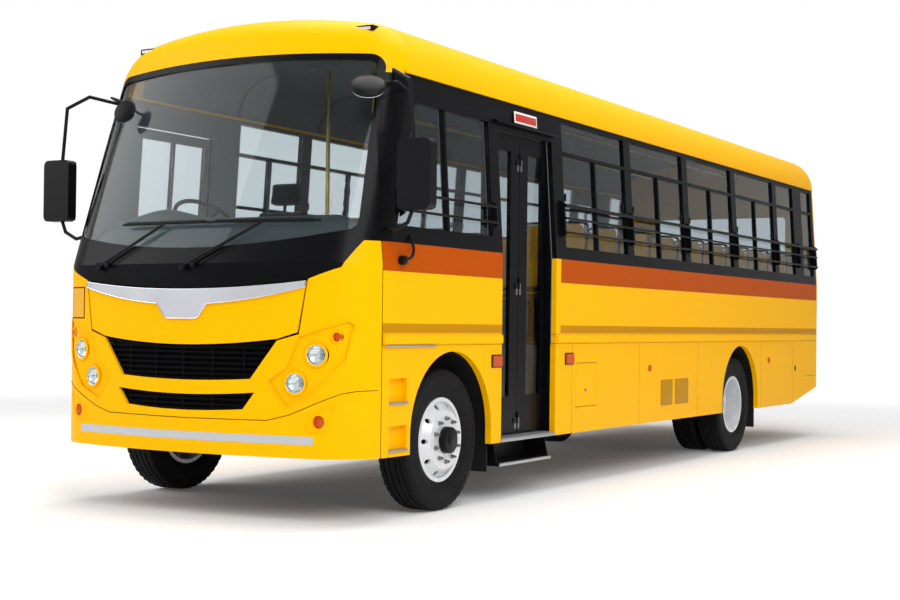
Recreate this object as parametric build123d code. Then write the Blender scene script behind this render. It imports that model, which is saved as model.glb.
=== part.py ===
from build123d import *
from math import atan2, cos, radians, sin, sqrt, tan
import os

# A front-engined school bus: a hollow coach body on a ladder chassis.
# Millimetres. The front faces -Y, the kerb side with the entrance is +X, +Z is up, and the origin is
# on the ground below the middle of the bus.

# ---- overall ----------------------------------------------------------------------------------------
OVERALL_LENGTH = 10000.0
BODY_WIDTH = 2500.0
ROOF_Z = 3250.0
FRONT_OVERHANG = 1250.0
WHEELBASE = 5800.0
REAR_BUMPER_DEPTH = 90.0

FRONT_Y = -OVERALL_LENGTH / 2
REAR_Y = OVERALL_LENGTH / 2 - REAR_BUMPER_DEPTH
FRONT_AXLE_Y = FRONT_Y + FRONT_OVERHANG
REAR_AXLE_Y = FRONT_AXLE_Y + WHEELBASE
HALF = BODY_WIDTH / 2

# ---- body section -----------------------------------------------------------------------------------
SKIRT_Z = 410.0
WAIST_Z = 1740.0
EAVES_Z = 2820.0
EAVES_HALF = 1180.0
CROWN_R = 5800.0
COVE_R = 350.0
WALL = 45.0
FLOOR_Z = 1110.0
FLOOR_THICKNESS = 25.0
SEAT = 0.3                 # gap between a fitted piece and its seat
GAP = 6.0                  # running gap round doors and flaps

# ---- body in plan -----------------------------------------------------------------------------------
FRONT_PLAN_R = 4200.0
FRONT_CORNER_R = 380.0
REAR_CORNER_R = 220.0      # round of the back's corners and roof edge
RAKE = 19.4                # lean of the windscreen
RAKE_Z = 1600.0            # the front is upright below this
ROOF_FRONT_R = 240.0
FRONT_SEAM_Y = FRONT_AXLE_Y - 850.0
REAR_SEAM_Y = REAR_Y - REAR_CORNER_R
SLOPE = tan(radians(RAKE))

# ---- wheels -----------------------------------------------------------------------------------------
TYRE_R = 470.0
TYRE_W = 230.0
RIM_R = 262.0
RIM_FLANGE_R = 280.0
RIM_W = 190.0
VENT_COUNT = 10
VENT_PCD = 450.0
VENT_R = 17.0
WHEEL_FACE_X = 1190.0      # outer sidewall of the outer tyres
TWIN_PITCH = 270.0
KINGPIN_X = 900.0
WHEEL_X = WHEEL_FACE_X - TYRE_W / 2
DISC_OUT = TWIN_PITCH / 2  # wheel discs reach this far from the rim's middle
DISC_T = 12.0
SPINDLE_R = 40.0
RUNNING = 0.05             # radial clearance of a running fit
DRUM_R = 195.0

# ---- wheel arches: opening in the skirt and the liner behind it -------------------------------------
ARCH_R = 538.0
ARCH_Z = 519.0
ARCH_SHIFT = 20.0
LINER_R = 600.0
LINER_THICKNESS = 6.0
LINER_INNER_X = 660.0

# ---- chassis ----------------------------------------------------------------------------------------
RAIL_OUTER_X = 432.0
RAIL_FLANGE = 70.0
RAIL_H = 200.0
RAIL_T = 8.0
RAIL_TOP_Z = 850.0
RAIL_FRONT_Y = FRONT_Y + 190.0
RAIL_REAR_Y = REAR_Y - 130.0
SPRING_W = 64.0
SPRING_X = RAIL_OUTER_X - RAIL_FLANGE / 2

# ---- entrance ---------------------------------------------------------------------------------------
DOOR_FRONT_Y = FRONT_AXLE_Y + 705.0
DOOR_REAR_Y = FRONT_AXLE_Y + 1570.0
DOOR_TOP_Z = 2620.0
SILL_Z = 440.0
LEAF_T = 34.0
LEAF_FACE_X = 1150.0
TREAD_XS = (700.0, 450.0, 230.0)        # inner end of each tread
TREAD_ZS = (SILL_Z, 663.0, 887.0)
STEP_T = 6.0

# ---- windows: bays behind the entrance --------------------------------------------------------------
BAY_PITCH = 1333.0
BAY_W = 1200.0
BAY_COUNT = 4
FIRST_BAY_Y = FRONT_AXLE_Y + 1750.0
WINDOW_SILL_Z = 1835.0
WINDOW_HEAD_Z = 2790.0
TRANSOM_Z = 2555.0
FRAME_BAR = 26.0
GLASS_T = 5.0
GLASS_INSET = 18.0

BAYS = tuple((FIRST_BAY_Y + i * BAY_PITCH, FIRST_BAY_Y + i * BAY_PITCH + BAY_W) for i in range(BAY_COUNT))
HALF_BAY = (BAYS[-1][1] + 130.0, BAYS[-1][1] + 730.0)
REAR_QUARTER = (REAR_Y - 670.0, REAR_Y - 310.0)
RIGHT_FIRST = (FRONT_AXLE_Y + 780.0, FIRST_BAY_Y - 133.0)

# ---- driver's door and emergency door, both on the right --------------------------------------------
DRIVER_DOOR = (FRONT_AXLE_Y - 400.0, FRONT_AXLE_Y + 450.0)
EMERGENCY_DOOR = (HALF_BAY[0] - 20.0, HALF_BAY[1] - 10.0)
SIDE_DOOR_Z = (1185.0, 2640.0)
SIDE_DOOR_T = 30.0
SIDE_DOOR_GAP = 10.0
HINGE_OUT = 8.0            # hinge line beyond the skin


# ---- small helpers ----------------------------------------------------------------------------------
def block(x, y, z):
    """A box from three (low, high) pairs."""
    size = (x[1] - x[0], y[1] - y[0], z[1] - z[0])
    return Pos((x[0] + x[1]) / 2, (y[0] + y[1]) / 2, (z[0] + z[1]) / 2) * Box(*size)


def prism_x(points, x0, x1):
    """An outline of (y, z) corners swept from x0 to x1."""
    plane = Plane(origin=(x0, 0, 0), x_dir=(0, 1, 0), z_dir=(1, 0, 0))
    return extrude(plane * make_face(Polyline(*points, close=True)), x1 - x0)


def prism_y(points, y0, y1):
    """An outline of (x, z) corners swept from y0 to y1."""
    plane = Plane(origin=(0, y1, 0), x_dir=(1, 0, 0), z_dir=(0, -1, 0))
    return extrude(plane * make_face(Polyline(*points, close=True)), y1 - y0)


def prism_z(points, z0, z1):
    """An outline of (x, y) corners swept from z0 to z1."""
    return extrude(Pos(0, 0, z0) * make_face(Polyline(*points, close=True)), z1 - z0)


def sweep_y(face_edges, y0, y1):
    """A closed chain of edges drawn in (x, z), swept from y0 to y1."""
    plane = Plane(origin=(0, y1, 0), x_dir=(1, 0, 0), z_dir=(0, -1, 0))
    return extrude(plane * make_face(face_edges), y1 - y0)


def rod(start, end, radius):
    """A round bar between two points."""
    a = Vector(*start)
    b = Vector(*end)
    plane = Plane(origin=a, z_dir=b - a)
    return extrude(plane * Circle(radius), (b - a).length)


def rod_path(points, radius):
    """Round bars through points, with a ball at each bend."""
    shape = rod(points[0], points[1], radius)
    for i in range(1, len(points) - 1):
        shape += Pos(*points[i]) * Sphere(radius)
        shape += rod(points[i], points[i + 1], radius)
    return shape


def mirrored(shape):
    """The same shape on the other side of the bus."""
    return mirror(shape, about=Plane.YZ)


def group(shapes):
    """Separate solids kept as one node."""
    return Compound(children=[solid for shape in shapes for solid in shape.solids()])


# ---- the body's outer form --------------------------------------------------------------------------
def cross_section(inset):
    """Upright sides, a tumblehome above the waist, and a crowned roof with round coves."""
    low_half = HALF - inset
    eaves_half = EAVES_HALF - inset
    cove_r = COVE_R - inset
    crown_r = CROWN_R - inset
    crown_z = ROOF_Z - CROWN_R
    cove_x = eaves_half - cove_r
    cove_z = crown_z + sqrt((crown_r - cove_r) ** 2 - cove_x ** 2)
    angle = atan2(cove_z - crown_z, cove_x)
    start = (crown_r * cos(angle), crown_z + crown_r * sin(angle))
    middle = (cove_x + cove_r * cos(angle / 2), cove_z + cove_r * sin(angle / 2))
    flare = 60.0
    lean = (cove_z - WAIST_Z) / (low_half - eaves_half)
    side = [(eaves_half, cove_z), (low_half + flare, WAIST_Z - flare * lean), (low_half + flare, 0.0)]
    edges = Polyline(*side, *[(-x, z) for x, z in reversed(side)]).edges()
    edges += ThreePointArc((-eaves_half, cove_z), (-middle[0], middle[1]), (-start[0], start[1])).edges()
    edges += ThreePointArc((-start[0], start[1]), (0, crown_z + crown_r), start).edges()
    edges += ThreePointArc(start, middle, (eaves_half, cove_z)).edges()
    return edges


def plan_outline(inset):
    """A bowed front with round corners, and straight sides."""
    half = HALF - inset
    back = REAR_Y + 500.0
    corner = FRONT_CORNER_R - inset
    bow = FRONT_PLAN_R - inset
    bow_y = FRONT_Y + FRONT_PLAN_R
    corner_x = half - corner
    corner_y = bow_y - sqrt((bow - corner) ** 2 - corner_x ** 2)
    angle = atan2(bow_y - corner_y, corner_x)
    start = (bow * cos(angle), bow_y - bow * sin(angle))
    middle = (corner_x + corner * cos(angle / 2), corner_y - corner * sin(angle / 2))
    edges = ThreePointArc((-start[0], start[1]), (0, FRONT_Y + inset), start).edges()
    edges += ThreePointArc(start, middle, (half, corner_y)).edges()
    edges += Polyline((half, corner_y), (half, back), (-half, back), (-half, corner_y)).edges()
    edges += ThreePointArc((-half, corner_y), (-middle[0], middle[1]), (-start[0], start[1])).edges()
    return edges


def make_envelope(inset):
    """The body's outer form moved inward by inset, or outward where inset is negative."""
    section = sweep_y(cross_section(inset), FRONT_Y - 50.0, REAR_Y - inset)
    plan = make_face(plan_outline(inset))
    slope = radians(RAKE)
    upright = extrude(plan, RAKE_Z)
    reach = (ROOF_Z + 200.0 - RAKE_Z) / cos(slope)
    leaning = extrude(Pos(0, 0, RAKE_Z) * plan, reach, dir=(0, sin(slope), cos(slope)))
    shape = (section & (upright + leaning)).solids()[0]
    shape = shape.fillet(ROOF_FRONT_R - inset, [edge for edge in shape.edges() if is_brow_edge(edge)])
    rear_edges = [edge for edge in shape.edges() if is_rear_edge(edge, REAR_Y - inset)]
    return shape.fillet(REAR_CORNER_R - inset, rear_edges)


def is_brow_edge(edge):
    """Whether an edge runs across the bus where the roof meets the windscreen's plane."""
    bounds = edge.bounding_box()
    return bounds.min.Z > 2500 and bounds.max.Y < FRONT_Y + 1500 and bounds.size.Y < 700


def is_rear_edge(edge, back):
    """Whether an edge bounds the flat back at its sides or top."""
    bounds = edge.bounding_box()
    return bounds.min.Y > back - 1 and bounds.max.Z > 100


ENVELOPES = {}


def envelope(inset):
    """The form at one depth, made once."""
    if inset not in ENVELOPES:
        ENVELOPES[inset] = make_envelope(inset)
    return ENVELOPES[inset]


def straight_form(inset):
    """The body's section carried straight on, without its round ends."""
    section = sweep_y(cross_section(inset), FRONT_Y, REAR_Y)
    return section & block((inset - HALF, HALF - inset), (FRONT_Y, REAR_Y), (0.0, ROOF_Z))


def side_layer(outer, inner):
    """The layer between two depths below the outside of the straight sides."""
    return straight_form(outer) - straight_form(inner)


def front_column(inset):
    """The bowed plan swept upright, as the front is below the windscreen."""
    return extrude(make_face(plan_outline(inset)), RAKE_Z)


def front_layer(outer, inner):
    """The layer between two depths below the outside of the upright front."""
    return front_column(outer) - front_column(inner)


# ---- where the body's panels meet -------------------------------------------------------------------
def seam_y(z):
    """The joint between the front and the sides: upright to the waist, then leaning as the windscreen."""
    return FRONT_SEAM_Y + max(0.0, z - WAIST_Z) * SLOPE


def front_cap():
    """The region ahead of the joint between the front and the sides."""
    top = ROOF_Z + 50.0
    front = FRONT_Y - 100.0
    outline = [(front, 0.0), (FRONT_SEAM_Y, 0.0), (FRONT_SEAM_Y, WAIST_Z), (seam_y(top), top), (front, top)]
    return prism_x(outline, -2 * HALF, 2 * HALF)


MASK_CENTRE_Z = 1448.0
MASK_CORNER = (900.0, 1500.0)
MASK_SIDE = ((1093.0, 1573.0), (1147.0, 1690.0), (1172.0, WAIST_Z), (1400.0, WAIST_Z))


def below_mask():
    """The region under the curved edge where the painted front meets the black windscreen surround."""
    side = list(MASK_SIDE) + [(1400.0, 0.0)]
    left = [(-x, z) for x, z in reversed(side)]
    edges = Polyline(MASK_CORNER, *side, *left, (-MASK_CORNER[0], MASK_CORNER[1])).edges()
    edges += ThreePointArc((-MASK_CORNER[0], MASK_CORNER[1]), (0.0, MASK_CENTRE_Z), MASK_CORNER).edges()
    return sweep_y(edges, FRONT_Y - 100.0, FRONT_SEAM_Y + 800.0)


GLASS_TOP = (1066.0, 2889.0, 2931.0)      # corner x, corner z, centre z
GLASS_LOW = (1135.0, 1812.0, 1700.0)
SURROUND_RIM = 45.0


def windscreen_outline(grow):
    """The windscreen's outline, seen from ahead, swept through the front."""
    top_x = GLASS_TOP[0] + grow * 0.8
    top_z = GLASS_TOP[1] + grow
    low_x = GLASS_LOW[0] + grow * 0.4
    low_z = GLASS_LOW[1] - grow
    edges = Line((low_x, low_z), (top_x, top_z)).edges()
    edges += ThreePointArc((top_x, top_z), (0.0, GLASS_TOP[2] + grow), (-top_x, top_z)).edges()
    edges += Line((-top_x, top_z), (-low_x, low_z)).edges()
    edges += ThreePointArc((-low_x, low_z), (0.0, GLASS_LOW[2] - grow), (low_x, low_z)).edges()
    face = make_face(edges)
    face = fillet(face.vertices(), 60.0 + grow)
    plane = Plane(origin=(0, FRONT_SEAM_Y + 700.0, 0), x_dir=(1, 0, 0), z_dir=(0, -1, 0))
    return extrude(plane * face, FRONT_SEAM_Y + 800.0 - FRONT_Y)


def surround_region():
    """All of the black front: above the mask edge, up to the eaves, and round the windscreen's top."""
    cap = front_cap()
    low = block((-2 * HALF, 2 * HALF), (FRONT_Y - 200.0, 0.0), (0.0, EAVES_Z)) - below_mask()
    return cap & (low + windscreen_outline(SURROUND_RIM))


def slab(z0, z1):
    """All of the bus between two heights."""
    return block((-2 * HALF, 2 * HALF), (FRONT_Y - 200.0, REAR_Y + 200.0), (z0, z1))


def half_space(side, x0=0.0):
    """The kerb side is +1 and the driver's side is -1."""
    low, high = sorted((side * x0, side * 2 * HALF))
    return block((low, high), (FRONT_Y - 200.0, REAR_Y + 200.0), (0.0, ROOF_Z + 100.0))


def rear_cap():
    """The region behind the joint between the sides and the back."""
    return block((-2 * HALF, 2 * HALF), (REAR_SEAM_Y, REAR_Y + 200.0), (0.0, ROOF_Z + 100.0))


def arch_opening(axle_y, z0=0.0):
    """The opening in both skirts over one axle."""
    centre = axle_y + ARCH_SHIFT
    plane = Plane(origin=(-2 * HALF, centre, ARCH_Z), x_dir=(0, 1, 0), z_dir=(1, 0, 0))
    top = extrude(plane * Circle(ARCH_R), 4 * HALF)
    return top + block((-2 * HALF, 2 * HALF), (centre - ARCH_R, centre + ARCH_R), (z0, ARCH_Z))


TAIL_CUT = ((REAR_Y - 1130.0, SKIRT_Z), (REAR_Y + 90.0, 615.0))


def tail_cut():
    """The skirt rises behind the rear wheels."""
    points = [(TAIL_CUT[0][0], 0.0), TAIL_CUT[0], TAIL_CUT[1], (TAIL_CUT[1][0], 0.0)]
    return prism_x(points, -2 * HALF, 2 * HALF)


# ---- windows ----------------------------------------------------------------------------------------
def pane(y0, y1, z0, z1, lean=0.0):
    """One pane's corners in (y, z), its front end leaning where the pillar leans."""
    return [(y0, z0), (y1, z0), (y1, z1), (y0 + lean * (z1 - z0), z1)]


def bay_panes(y0, y1):
    """A fixed light over two sliding panes."""
    middle = (y0 + y1) / 2
    bar = FRAME_BAR / 2
    return [
        pane(y0, y1, TRANSOM_Z + bar, WINDOW_HEAD_Z),
        pane(y0, middle - bar, WINDOW_SILL_Z, TRANSOM_Z - bar),
        pane(middle + bar, y1, WINDOW_SILL_Z, TRANSOM_Z - bar),
    ]


def small_bay_panes(y0, y1):
    """A fixed light over one fixed pane."""
    bar = FRAME_BAR / 2
    return [
        pane(y0, y1, TRANSOM_Z + bar, WINDOW_HEAD_Z),
        pane(y0, y1, WINDOW_SILL_Z, TRANSOM_Z - bar),
    ]


CAB_WINDOW = (FRONT_AXLE_Y - 690.0, FRONT_AXLE_Y + 570.0, FRONT_AXLE_Y - 40.0)   # front, rear, divider
CAB_WINDOW_Z = (1850.0, 2650.0)


def cab_panes():
    """The kerb side's front window: its front end leans with the windscreen."""
    front, rear, divider = CAB_WINDOW
    bar = FRAME_BAR / 2
    low, high = CAB_WINDOW_Z
    return [pane(front, divider - bar, low, high, SLOPE), pane(divider + bar, rear, low, high)]


def side_panes(side):
    """Every fixed pane of one side."""
    panes = []
    for y0, y1 in BAYS:
        panes += bay_panes(y0, y1)
    panes += small_bay_panes(*REAR_QUARTER)
    if side > 0:
        panes += cab_panes()
        panes += small_bay_panes(*HALF_BAY)
    else:
        panes += bay_panes(*RIGHT_FIRST)
    return panes


def grown(points, amount):
    """Pane corners moved outward from their middle by amount in y and z."""
    middle_y = sum(y for y, z in points) / len(points)
    middle_z = sum(z for y, z in points) / len(points)
    return [(y + amount * (1 if y > middle_y else -1), z + amount * (1 if z > middle_z else -1)) for y, z in points]


def through_side(points, side):
    """A pane's outline swept through one side wall."""
    low, high = sorted((side * 900.0, side * (HALF + 100.0)))
    return prism_x(points, low, high)


# ---- body panels ------------------------------------------------------------------------------------
def shell():
    """The whole hollow body, one wall thick."""
    return (envelope(0.0) - envelope(WALL)) & slab(SKIRT_Z, ROOF_Z + 100.0)


def entrance_opening():
    return block((900.0, HALF + 100.0), (DOOR_FRONT_Y, DOOR_REAR_Y), (0.0, DOOR_TOP_Z))


def side_wall(side, z0, z1):
    """One side between two heights, before its openings are cut."""
    wall = shell() & slab(z0, z1)
    wall = wall - front_cap() - rear_cap()
    return wall & half_space(side)


def lower_side(side):
    """The skirt and waist panel of one side, with its wheel arches."""
    wall = side_wall(side, SKIRT_Z, WAIST_Z)
    wall -= arch_opening(FRONT_AXLE_Y)
    wall -= arch_opening(REAR_AXLE_Y)
    wall -= tail_cut()
    if side > 0:
        wall -= entrance_opening()
        wall -= block((FUEL_RECESS_X, HALF + 10.0), FUEL_RECESS_Y, FUEL_RECESS_Z)
    else:
        for y0, y1 in (DRIVER_DOOR, EMERGENCY_DOOR):
            wall -= side_door_opening(y0, y1)
    for pocket in FOOT_POCKETS:
        wall -= foot_pocket(side, pocket)
    return wall


def window_frame(side):
    """The black upper side of one side, with its panes cut."""
    wall = side_wall(side, WAIST_Z, EAVES_Z)
    for points in side_panes(side):
        wall -= through_side(points, side)
    if side > 0:
        wall -= entrance_opening()
    else:
        for y0, y1 in (DRIVER_DOOR, EMERGENCY_DOOR):
            wall -= side_door_opening(y0, y1)
    return wall


def side_glass(side):
    """The fixed panes of one side, each seated in its opening."""
    layer = side_layer(GLASS_INSET, GLASS_INSET + GLASS_T)
    panes = [layer & through_side(grown(points, -SEAT), side) for points in side_panes(side)]
    return group(panes)


def roof():
    """The roof, with its brow over the windscreen."""
    return (shell() & slab(EAVES_Z, ROOF_Z + 100.0)) - surround_region() - rear_cap()


def windscreen_surround():
    """The black frame that carries the windscreen and makes the front pillars."""
    return (shell() & surround_region()) - windscreen_outline(0.0)


WINDSCREEN_INSET = 8.0
WINDSCREEN_T = 8.0


def leaning_column(inset):
    """The bowed plan swept up along the windscreen's lean."""
    reach = (ROOF_Z - RAKE_Z) / cos(radians(RAKE))
    plan = Pos(0, 0, RAKE_Z) * make_face(plan_outline(inset))
    return extrude(plan, reach, dir=(0, sin(radians(RAKE)), cos(radians(RAKE))))


def windscreen_glass():
    pane_layer = leaning_column(WINDSCREEN_INSET) - leaning_column(WINDSCREEN_INSET + WINDSCREEN_T)
    return pane_layer & front_cap() & windscreen_outline(-SEAT)


# ---- the front --------------------------------------------------------------------------------------
BUMPER_SEAM = ((0.0, 629.0), (640.0, 634.0), (790.0, 672.0), (1100.0, 806.0), (1400.0, 832.0))
UPPER_GRILLE = ((700.0, 1122.0), (520.0, 884.0))       # upper and lower outer corner
UPPER_GRILLE_Z = (1078.0, 867.0)                       # the same edges at the middle
LOWER_GRILLE = ((552.0, 802.0), (470.0, 696.0))
LOWER_GRILLE_Z = (779.0, 677.0)
FLAP_GAP = 12.0
FLAP_T = 8.0
FLAP_SIDE = ((896.0, 1488.0), (846.0, 1164.0), (700.0, 1122.0))
HEADLAMPS = ((957.0, 1039.0), (823.0, 864.0))
HEADLAMP_R = 72.0
INDICATOR = (1072.0, 1150.0)
INDICATOR_R = 30.0
FOG_LAMP = (975.0, 634.0)
FOG_LAMP_R = 42.0
LAMP_POD = ((846.0, 1150.0), (1127.0, 1247.0), (1156.0, 1225.0), (1120.0, 1010.0), (945.0, 792.0), (764.0, 718.0),
            (642.0, 876.0), (760.0, 960.0))
POD_DEPTH = 10.0


def trapezoid(corners, middle_z, shrink=0.0):
    """A grille's outline: two outer corners a side, with bowed upper and lower edges."""
    (top_x, top_z), (low_x, low_z) = corners
    top_x -= shrink
    low_x -= shrink
    edges = ThreePointArc((-top_x, top_z - shrink), (0.0, middle_z[0] - shrink), (top_x, top_z - shrink)).edges()
    edges += Line((top_x, top_z - shrink), (low_x, low_z + shrink)).edges()
    edges += ThreePointArc((low_x, low_z + shrink), (0.0, middle_z[1] + shrink), (-low_x, low_z + shrink)).edges()
    edges += Line((-low_x, low_z + shrink), (-top_x, top_z - shrink)).edges()
    return sweep_y(edges, FRONT_Y - 100.0, FRONT_SEAM_Y)


def bumper_region():
    points = list(BUMPER_SEAM) + [(1400.0, 0.0), (-1400.0, 0.0)] + [(-x, z) for x, z in reversed(BUMPER_SEAM) if x > 0]
    return prism_y(points, FRONT_Y - 100.0, FRONT_SEAM_Y + 10.0)


def flap_outline(gap):
    """The service flap between the mask edge and the upper grille, smaller by gap all round."""
    top_x = MASK_CORNER[0] - gap
    top_z = MASK_CORNER[1] - gap
    side = [(top_x, top_z), (FLAP_SIDE[1][0] - gap, FLAP_SIDE[1][1] + gap), (FLAP_SIDE[2][0], FLAP_SIDE[2][1] + gap)]
    edges = Polyline(*side).edges()
    low = (side[-1][0], side[-1][1])
    edges += ThreePointArc(low, (0.0, UPPER_GRILLE_Z[0] + gap), (-low[0], low[1])).edges()
    edges += Polyline(*[(-x, z) for x, z in reversed(side)]).edges()
    edges += ThreePointArc((-top_x, top_z), (0.0, MASK_CENTRE_Z - gap), (top_x, top_z)).edges()
    return sweep_y(edges, FRONT_Y - 100.0, FRONT_SEAM_Y)


def lamp_bore(x, z, radius):
    """A round hole from ahead, on both sides."""
    bore = rod((x, FRONT_Y - 100.0, z), (x, FRONT_SEAM_Y - 50.0, z), radius)
    return bore + mirrored(bore)


def lamp_pod_region():
    pod = prism_y(list(LAMP_POD), FRONT_Y - 100.0, FRONT_SEAM_Y)
    return pod + mirrored(pod)


def front_panel():
    """The painted front between the mask edge and the bumper, with its openings."""
    panel = (shell() & front_cap() & below_mask()) - bumper_region()
    panel -= flap_outline(0.0)
    panel -= trapezoid(UPPER_GRILLE, UPPER_GRILLE_Z)
    panel -= trapezoid(LOWER_GRILLE, LOWER_GRILLE_Z)
    panel -= front_layer(0.0, POD_DEPTH) & lamp_pod_region()
    for x, z in HEADLAMPS:
        panel -= lamp_bore(x, z, HEADLAMP_R + SEAT)
    panel -= lamp_bore(*INDICATOR, INDICATOR_R + SEAT)
    return panel


def front_bumper():
    bumper = shell() & front_cap() & bumper_region()
    return bumper - lamp_bore(*FOG_LAMP, FOG_LAMP_R + SEAT)


GRILLE_INSET = 22.0
GRILLE_T = 12.0
GRILLE_PITCH = 34.0
GRILLE_BAR = 13.0
GRILLE_RIB_PITCH = 230.0


def grille(corners, middle_z):
    """A black frame with level slats and a few upright ribs, set back in its opening."""
    layer = front_layer(GRILLE_INSET, GRILLE_INSET + GRILLE_T)
    field = trapezoid(corners, middle_z, SEAT)
    frame = field - trapezoid(corners, middle_z, 16.0)
    low = min(middle_z[1], corners[1][1])
    high = max(middle_z[0], corners[0][1])
    wide = corners[0][0]
    bars = frame
    z = low + GRILLE_PITCH
    while z < high:
        bars += field & block((-wide, wide), (FRONT_Y - 90.0, FRONT_SEAM_Y - 10.0), (z, z + GRILLE_BAR))
        z += GRILLE_PITCH
    ribs = int(wide / GRILLE_RIB_PITCH)
    for i in range(-ribs, ribs + 1):
        x = i * GRILLE_RIB_PITCH
        bars += field & block((x - 6.0, x + 6.0), (FRONT_Y - 90.0, FRONT_SEAM_Y - 10.0), (low - 20.0, high + 20.0))
    return layer & bars


def grilles():
    return group([grille(UPPER_GRILLE, UPPER_GRILLE_Z), grille(LOWER_GRILLE, LOWER_GRILLE_Z)])


def front_surface_y(x, z):
    """The front's outer surface at a point seen from ahead, away from the round corners."""
    sag = FRONT_PLAN_R - sqrt(FRONT_PLAN_R ** 2 - x ** 2)
    corner_start = (HALF - FRONT_CORNER_R) * FRONT_PLAN_R / (FRONT_PLAN_R - FRONT_CORNER_R)
    if abs(x) > corner_start:
        corner_x = HALF - FRONT_CORNER_R
        corner_y = FRONT_PLAN_R - sqrt((FRONT_PLAN_R - FRONT_CORNER_R) ** 2 - corner_x ** 2)
        sag = corner_y - sqrt(FRONT_CORNER_R ** 2 - (abs(x) - corner_x) ** 2)
    return FRONT_Y + sag + max(0.0, z - RAKE_Z) * SLOPE


def round_lamp(x, z, radius, depth, bulge, back):
    """A lamp body with a domed lens, facing ahead, its rim set back from the surface."""
    face = front_surface_y(x, z) + back
    edges = Polyline((radius, 0), (radius, depth * 0.4), (radius * 0.6, depth), (0, depth), (0, -bulge)).edges()
    edges += ThreePointArc((0, -bulge), (radius * 0.52, -bulge * 0.73), (radius, 0)).edges()
    return Pos(x, face, z) * revolve(make_face(edges), Axis.Y)


def pair(shape):
    return [shape, mirrored(shape)]


def headlamps():
    lamps = []
    for x, z in HEADLAMPS:
        lamps += pair(round_lamp(x, z, HEADLAMP_R, 80.0, 14.0, 14.0))
    return group(lamps)


def amber_lamps():
    """Front indicators, fog lamps, roof markers and the square and round side lamps."""
    lamps = pair(round_lamp(*INDICATOR, INDICATOR_R, 28.0, 6.0, 14.0))
    lamps += pair(round_lamp(*FOG_LAMP, FOG_LAMP_R, 50.0, 6.0, 14.0))
    for y, z, length, height in SIDE_LAMPS:
        lamp = block((HALF, HALF + 16.0), (y, y + length), (z, z + height))
        lamps += pair(lamp)
    for y, z in SIDE_MARKERS:
        lamps += pair(rod((HALF, y, z), (HALF + 12.0, y, z), 28.0))
    return group(lamps)


SIDE_LAMPS = ((FRONT_AXLE_Y + 560.0, 945.0, 130.0, 75.0), (FRONT_AXLE_Y + 1740.0, 945.0, 130.0, 75.0))
SIDE_MARKERS = ((FRONT_AXLE_Y + 3420.0, 880.0), (FRONT_AXLE_Y + 6700.0, 900.0))


CHROME_T = 12.0


def chrome_strip():
    """The bright bar along the flap's top edge, with a plain shield at its middle."""
    layer = front_layer(-CHROME_T, 0.0)
    shield = ((-212.0, 1360.0), (-136.0, 1262.0), (-110.0, 1253.0), (110.0, 1253.0), (136.0, 1262.0), (212.0, 1360.0),
              (212.0, 1500.0), (-212.0, 1500.0))
    gap = FLAP_GAP
    top_x = MASK_CORNER[0] - gap
    top_z = MASK_CORNER[1] - gap
    low_x = top_x - 4.0
    edges = ThreePointArc((-top_x, top_z), (0.0, MASK_CENTRE_Z - gap), (top_x, top_z)).edges()
    edges += Line((top_x, top_z), (low_x, top_z - 36.0)).edges()
    edges += ThreePointArc((low_x, top_z - 36.0), (0.0, MASK_CENTRE_Z - gap - 95.0), (-low_x, top_z - 36.0)).edges()
    edges += Line((-low_x, top_z - 36.0), (-top_x, top_z)).edges()
    bar = sweep_y(edges, FRONT_Y - 100.0, FRONT_SEAM_Y)
    shield_region = prism_y(list(shield), FRONT_Y - 100.0, FRONT_SEAM_Y) & flap_outline(gap)
    return layer & (bar + shield_region)


FLAP_AXIS_Y = FRONT_Y + 86.0
FLAP_AXIS_Z = 1570.0
NECK_R = 150.0
NECK_XS = (-420.0, 420.0)


def front_flap():
    """A thin curved panel on two gooseneck arms that swing under the wall above it."""
    panel = front_layer(0.0, FLAP_T) & flap_outline(FLAP_GAP)
    for x in NECK_XS:
        panel += gooseneck(x)
    return panel


def gooseneck(x):
    """An arm that leaves its pin backward and curls under the wall to the flap."""
    plane = Plane(origin=(x - 12.0, FLAP_AXIS_Y, FLAP_AXIS_Z), x_dir=(0, 1, 0), z_dir=(1, 0, 0))
    ring = extrude(plane * (Circle(NECK_R + 7.0) - Circle(NECK_R - 7.0)), 24.0)
    front = front_surface_y(x, FLAP_AXIS_Z - NECK_R) + FLAP_T
    ring &= block((x - 20.0, x + 20.0), (front - 3.0, FLAP_AXIS_Y + 200.0), (FLAP_AXIS_Z - 200.0, FLAP_AXIS_Z + 7.0))
    spoke = block((x - 12.0, x + 12.0), (FLAP_AXIS_Y, FLAP_AXIS_Y + NECK_R), (FLAP_AXIS_Z - 7.0, FLAP_AXIS_Z + 7.0))
    barrel = rod((x - 12.0, FLAP_AXIS_Y, FLAP_AXIS_Z), (x + 12.0, FLAP_AXIS_Y, FLAP_AXIS_Z), 12.0)
    bore = rod((x - 20.0, FLAP_AXIS_Y, FLAP_AXIS_Z), (x + 20.0, FLAP_AXIS_Y, FLAP_AXIS_Z), 6.05)
    return (ring + spoke + barrel) - bore


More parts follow.
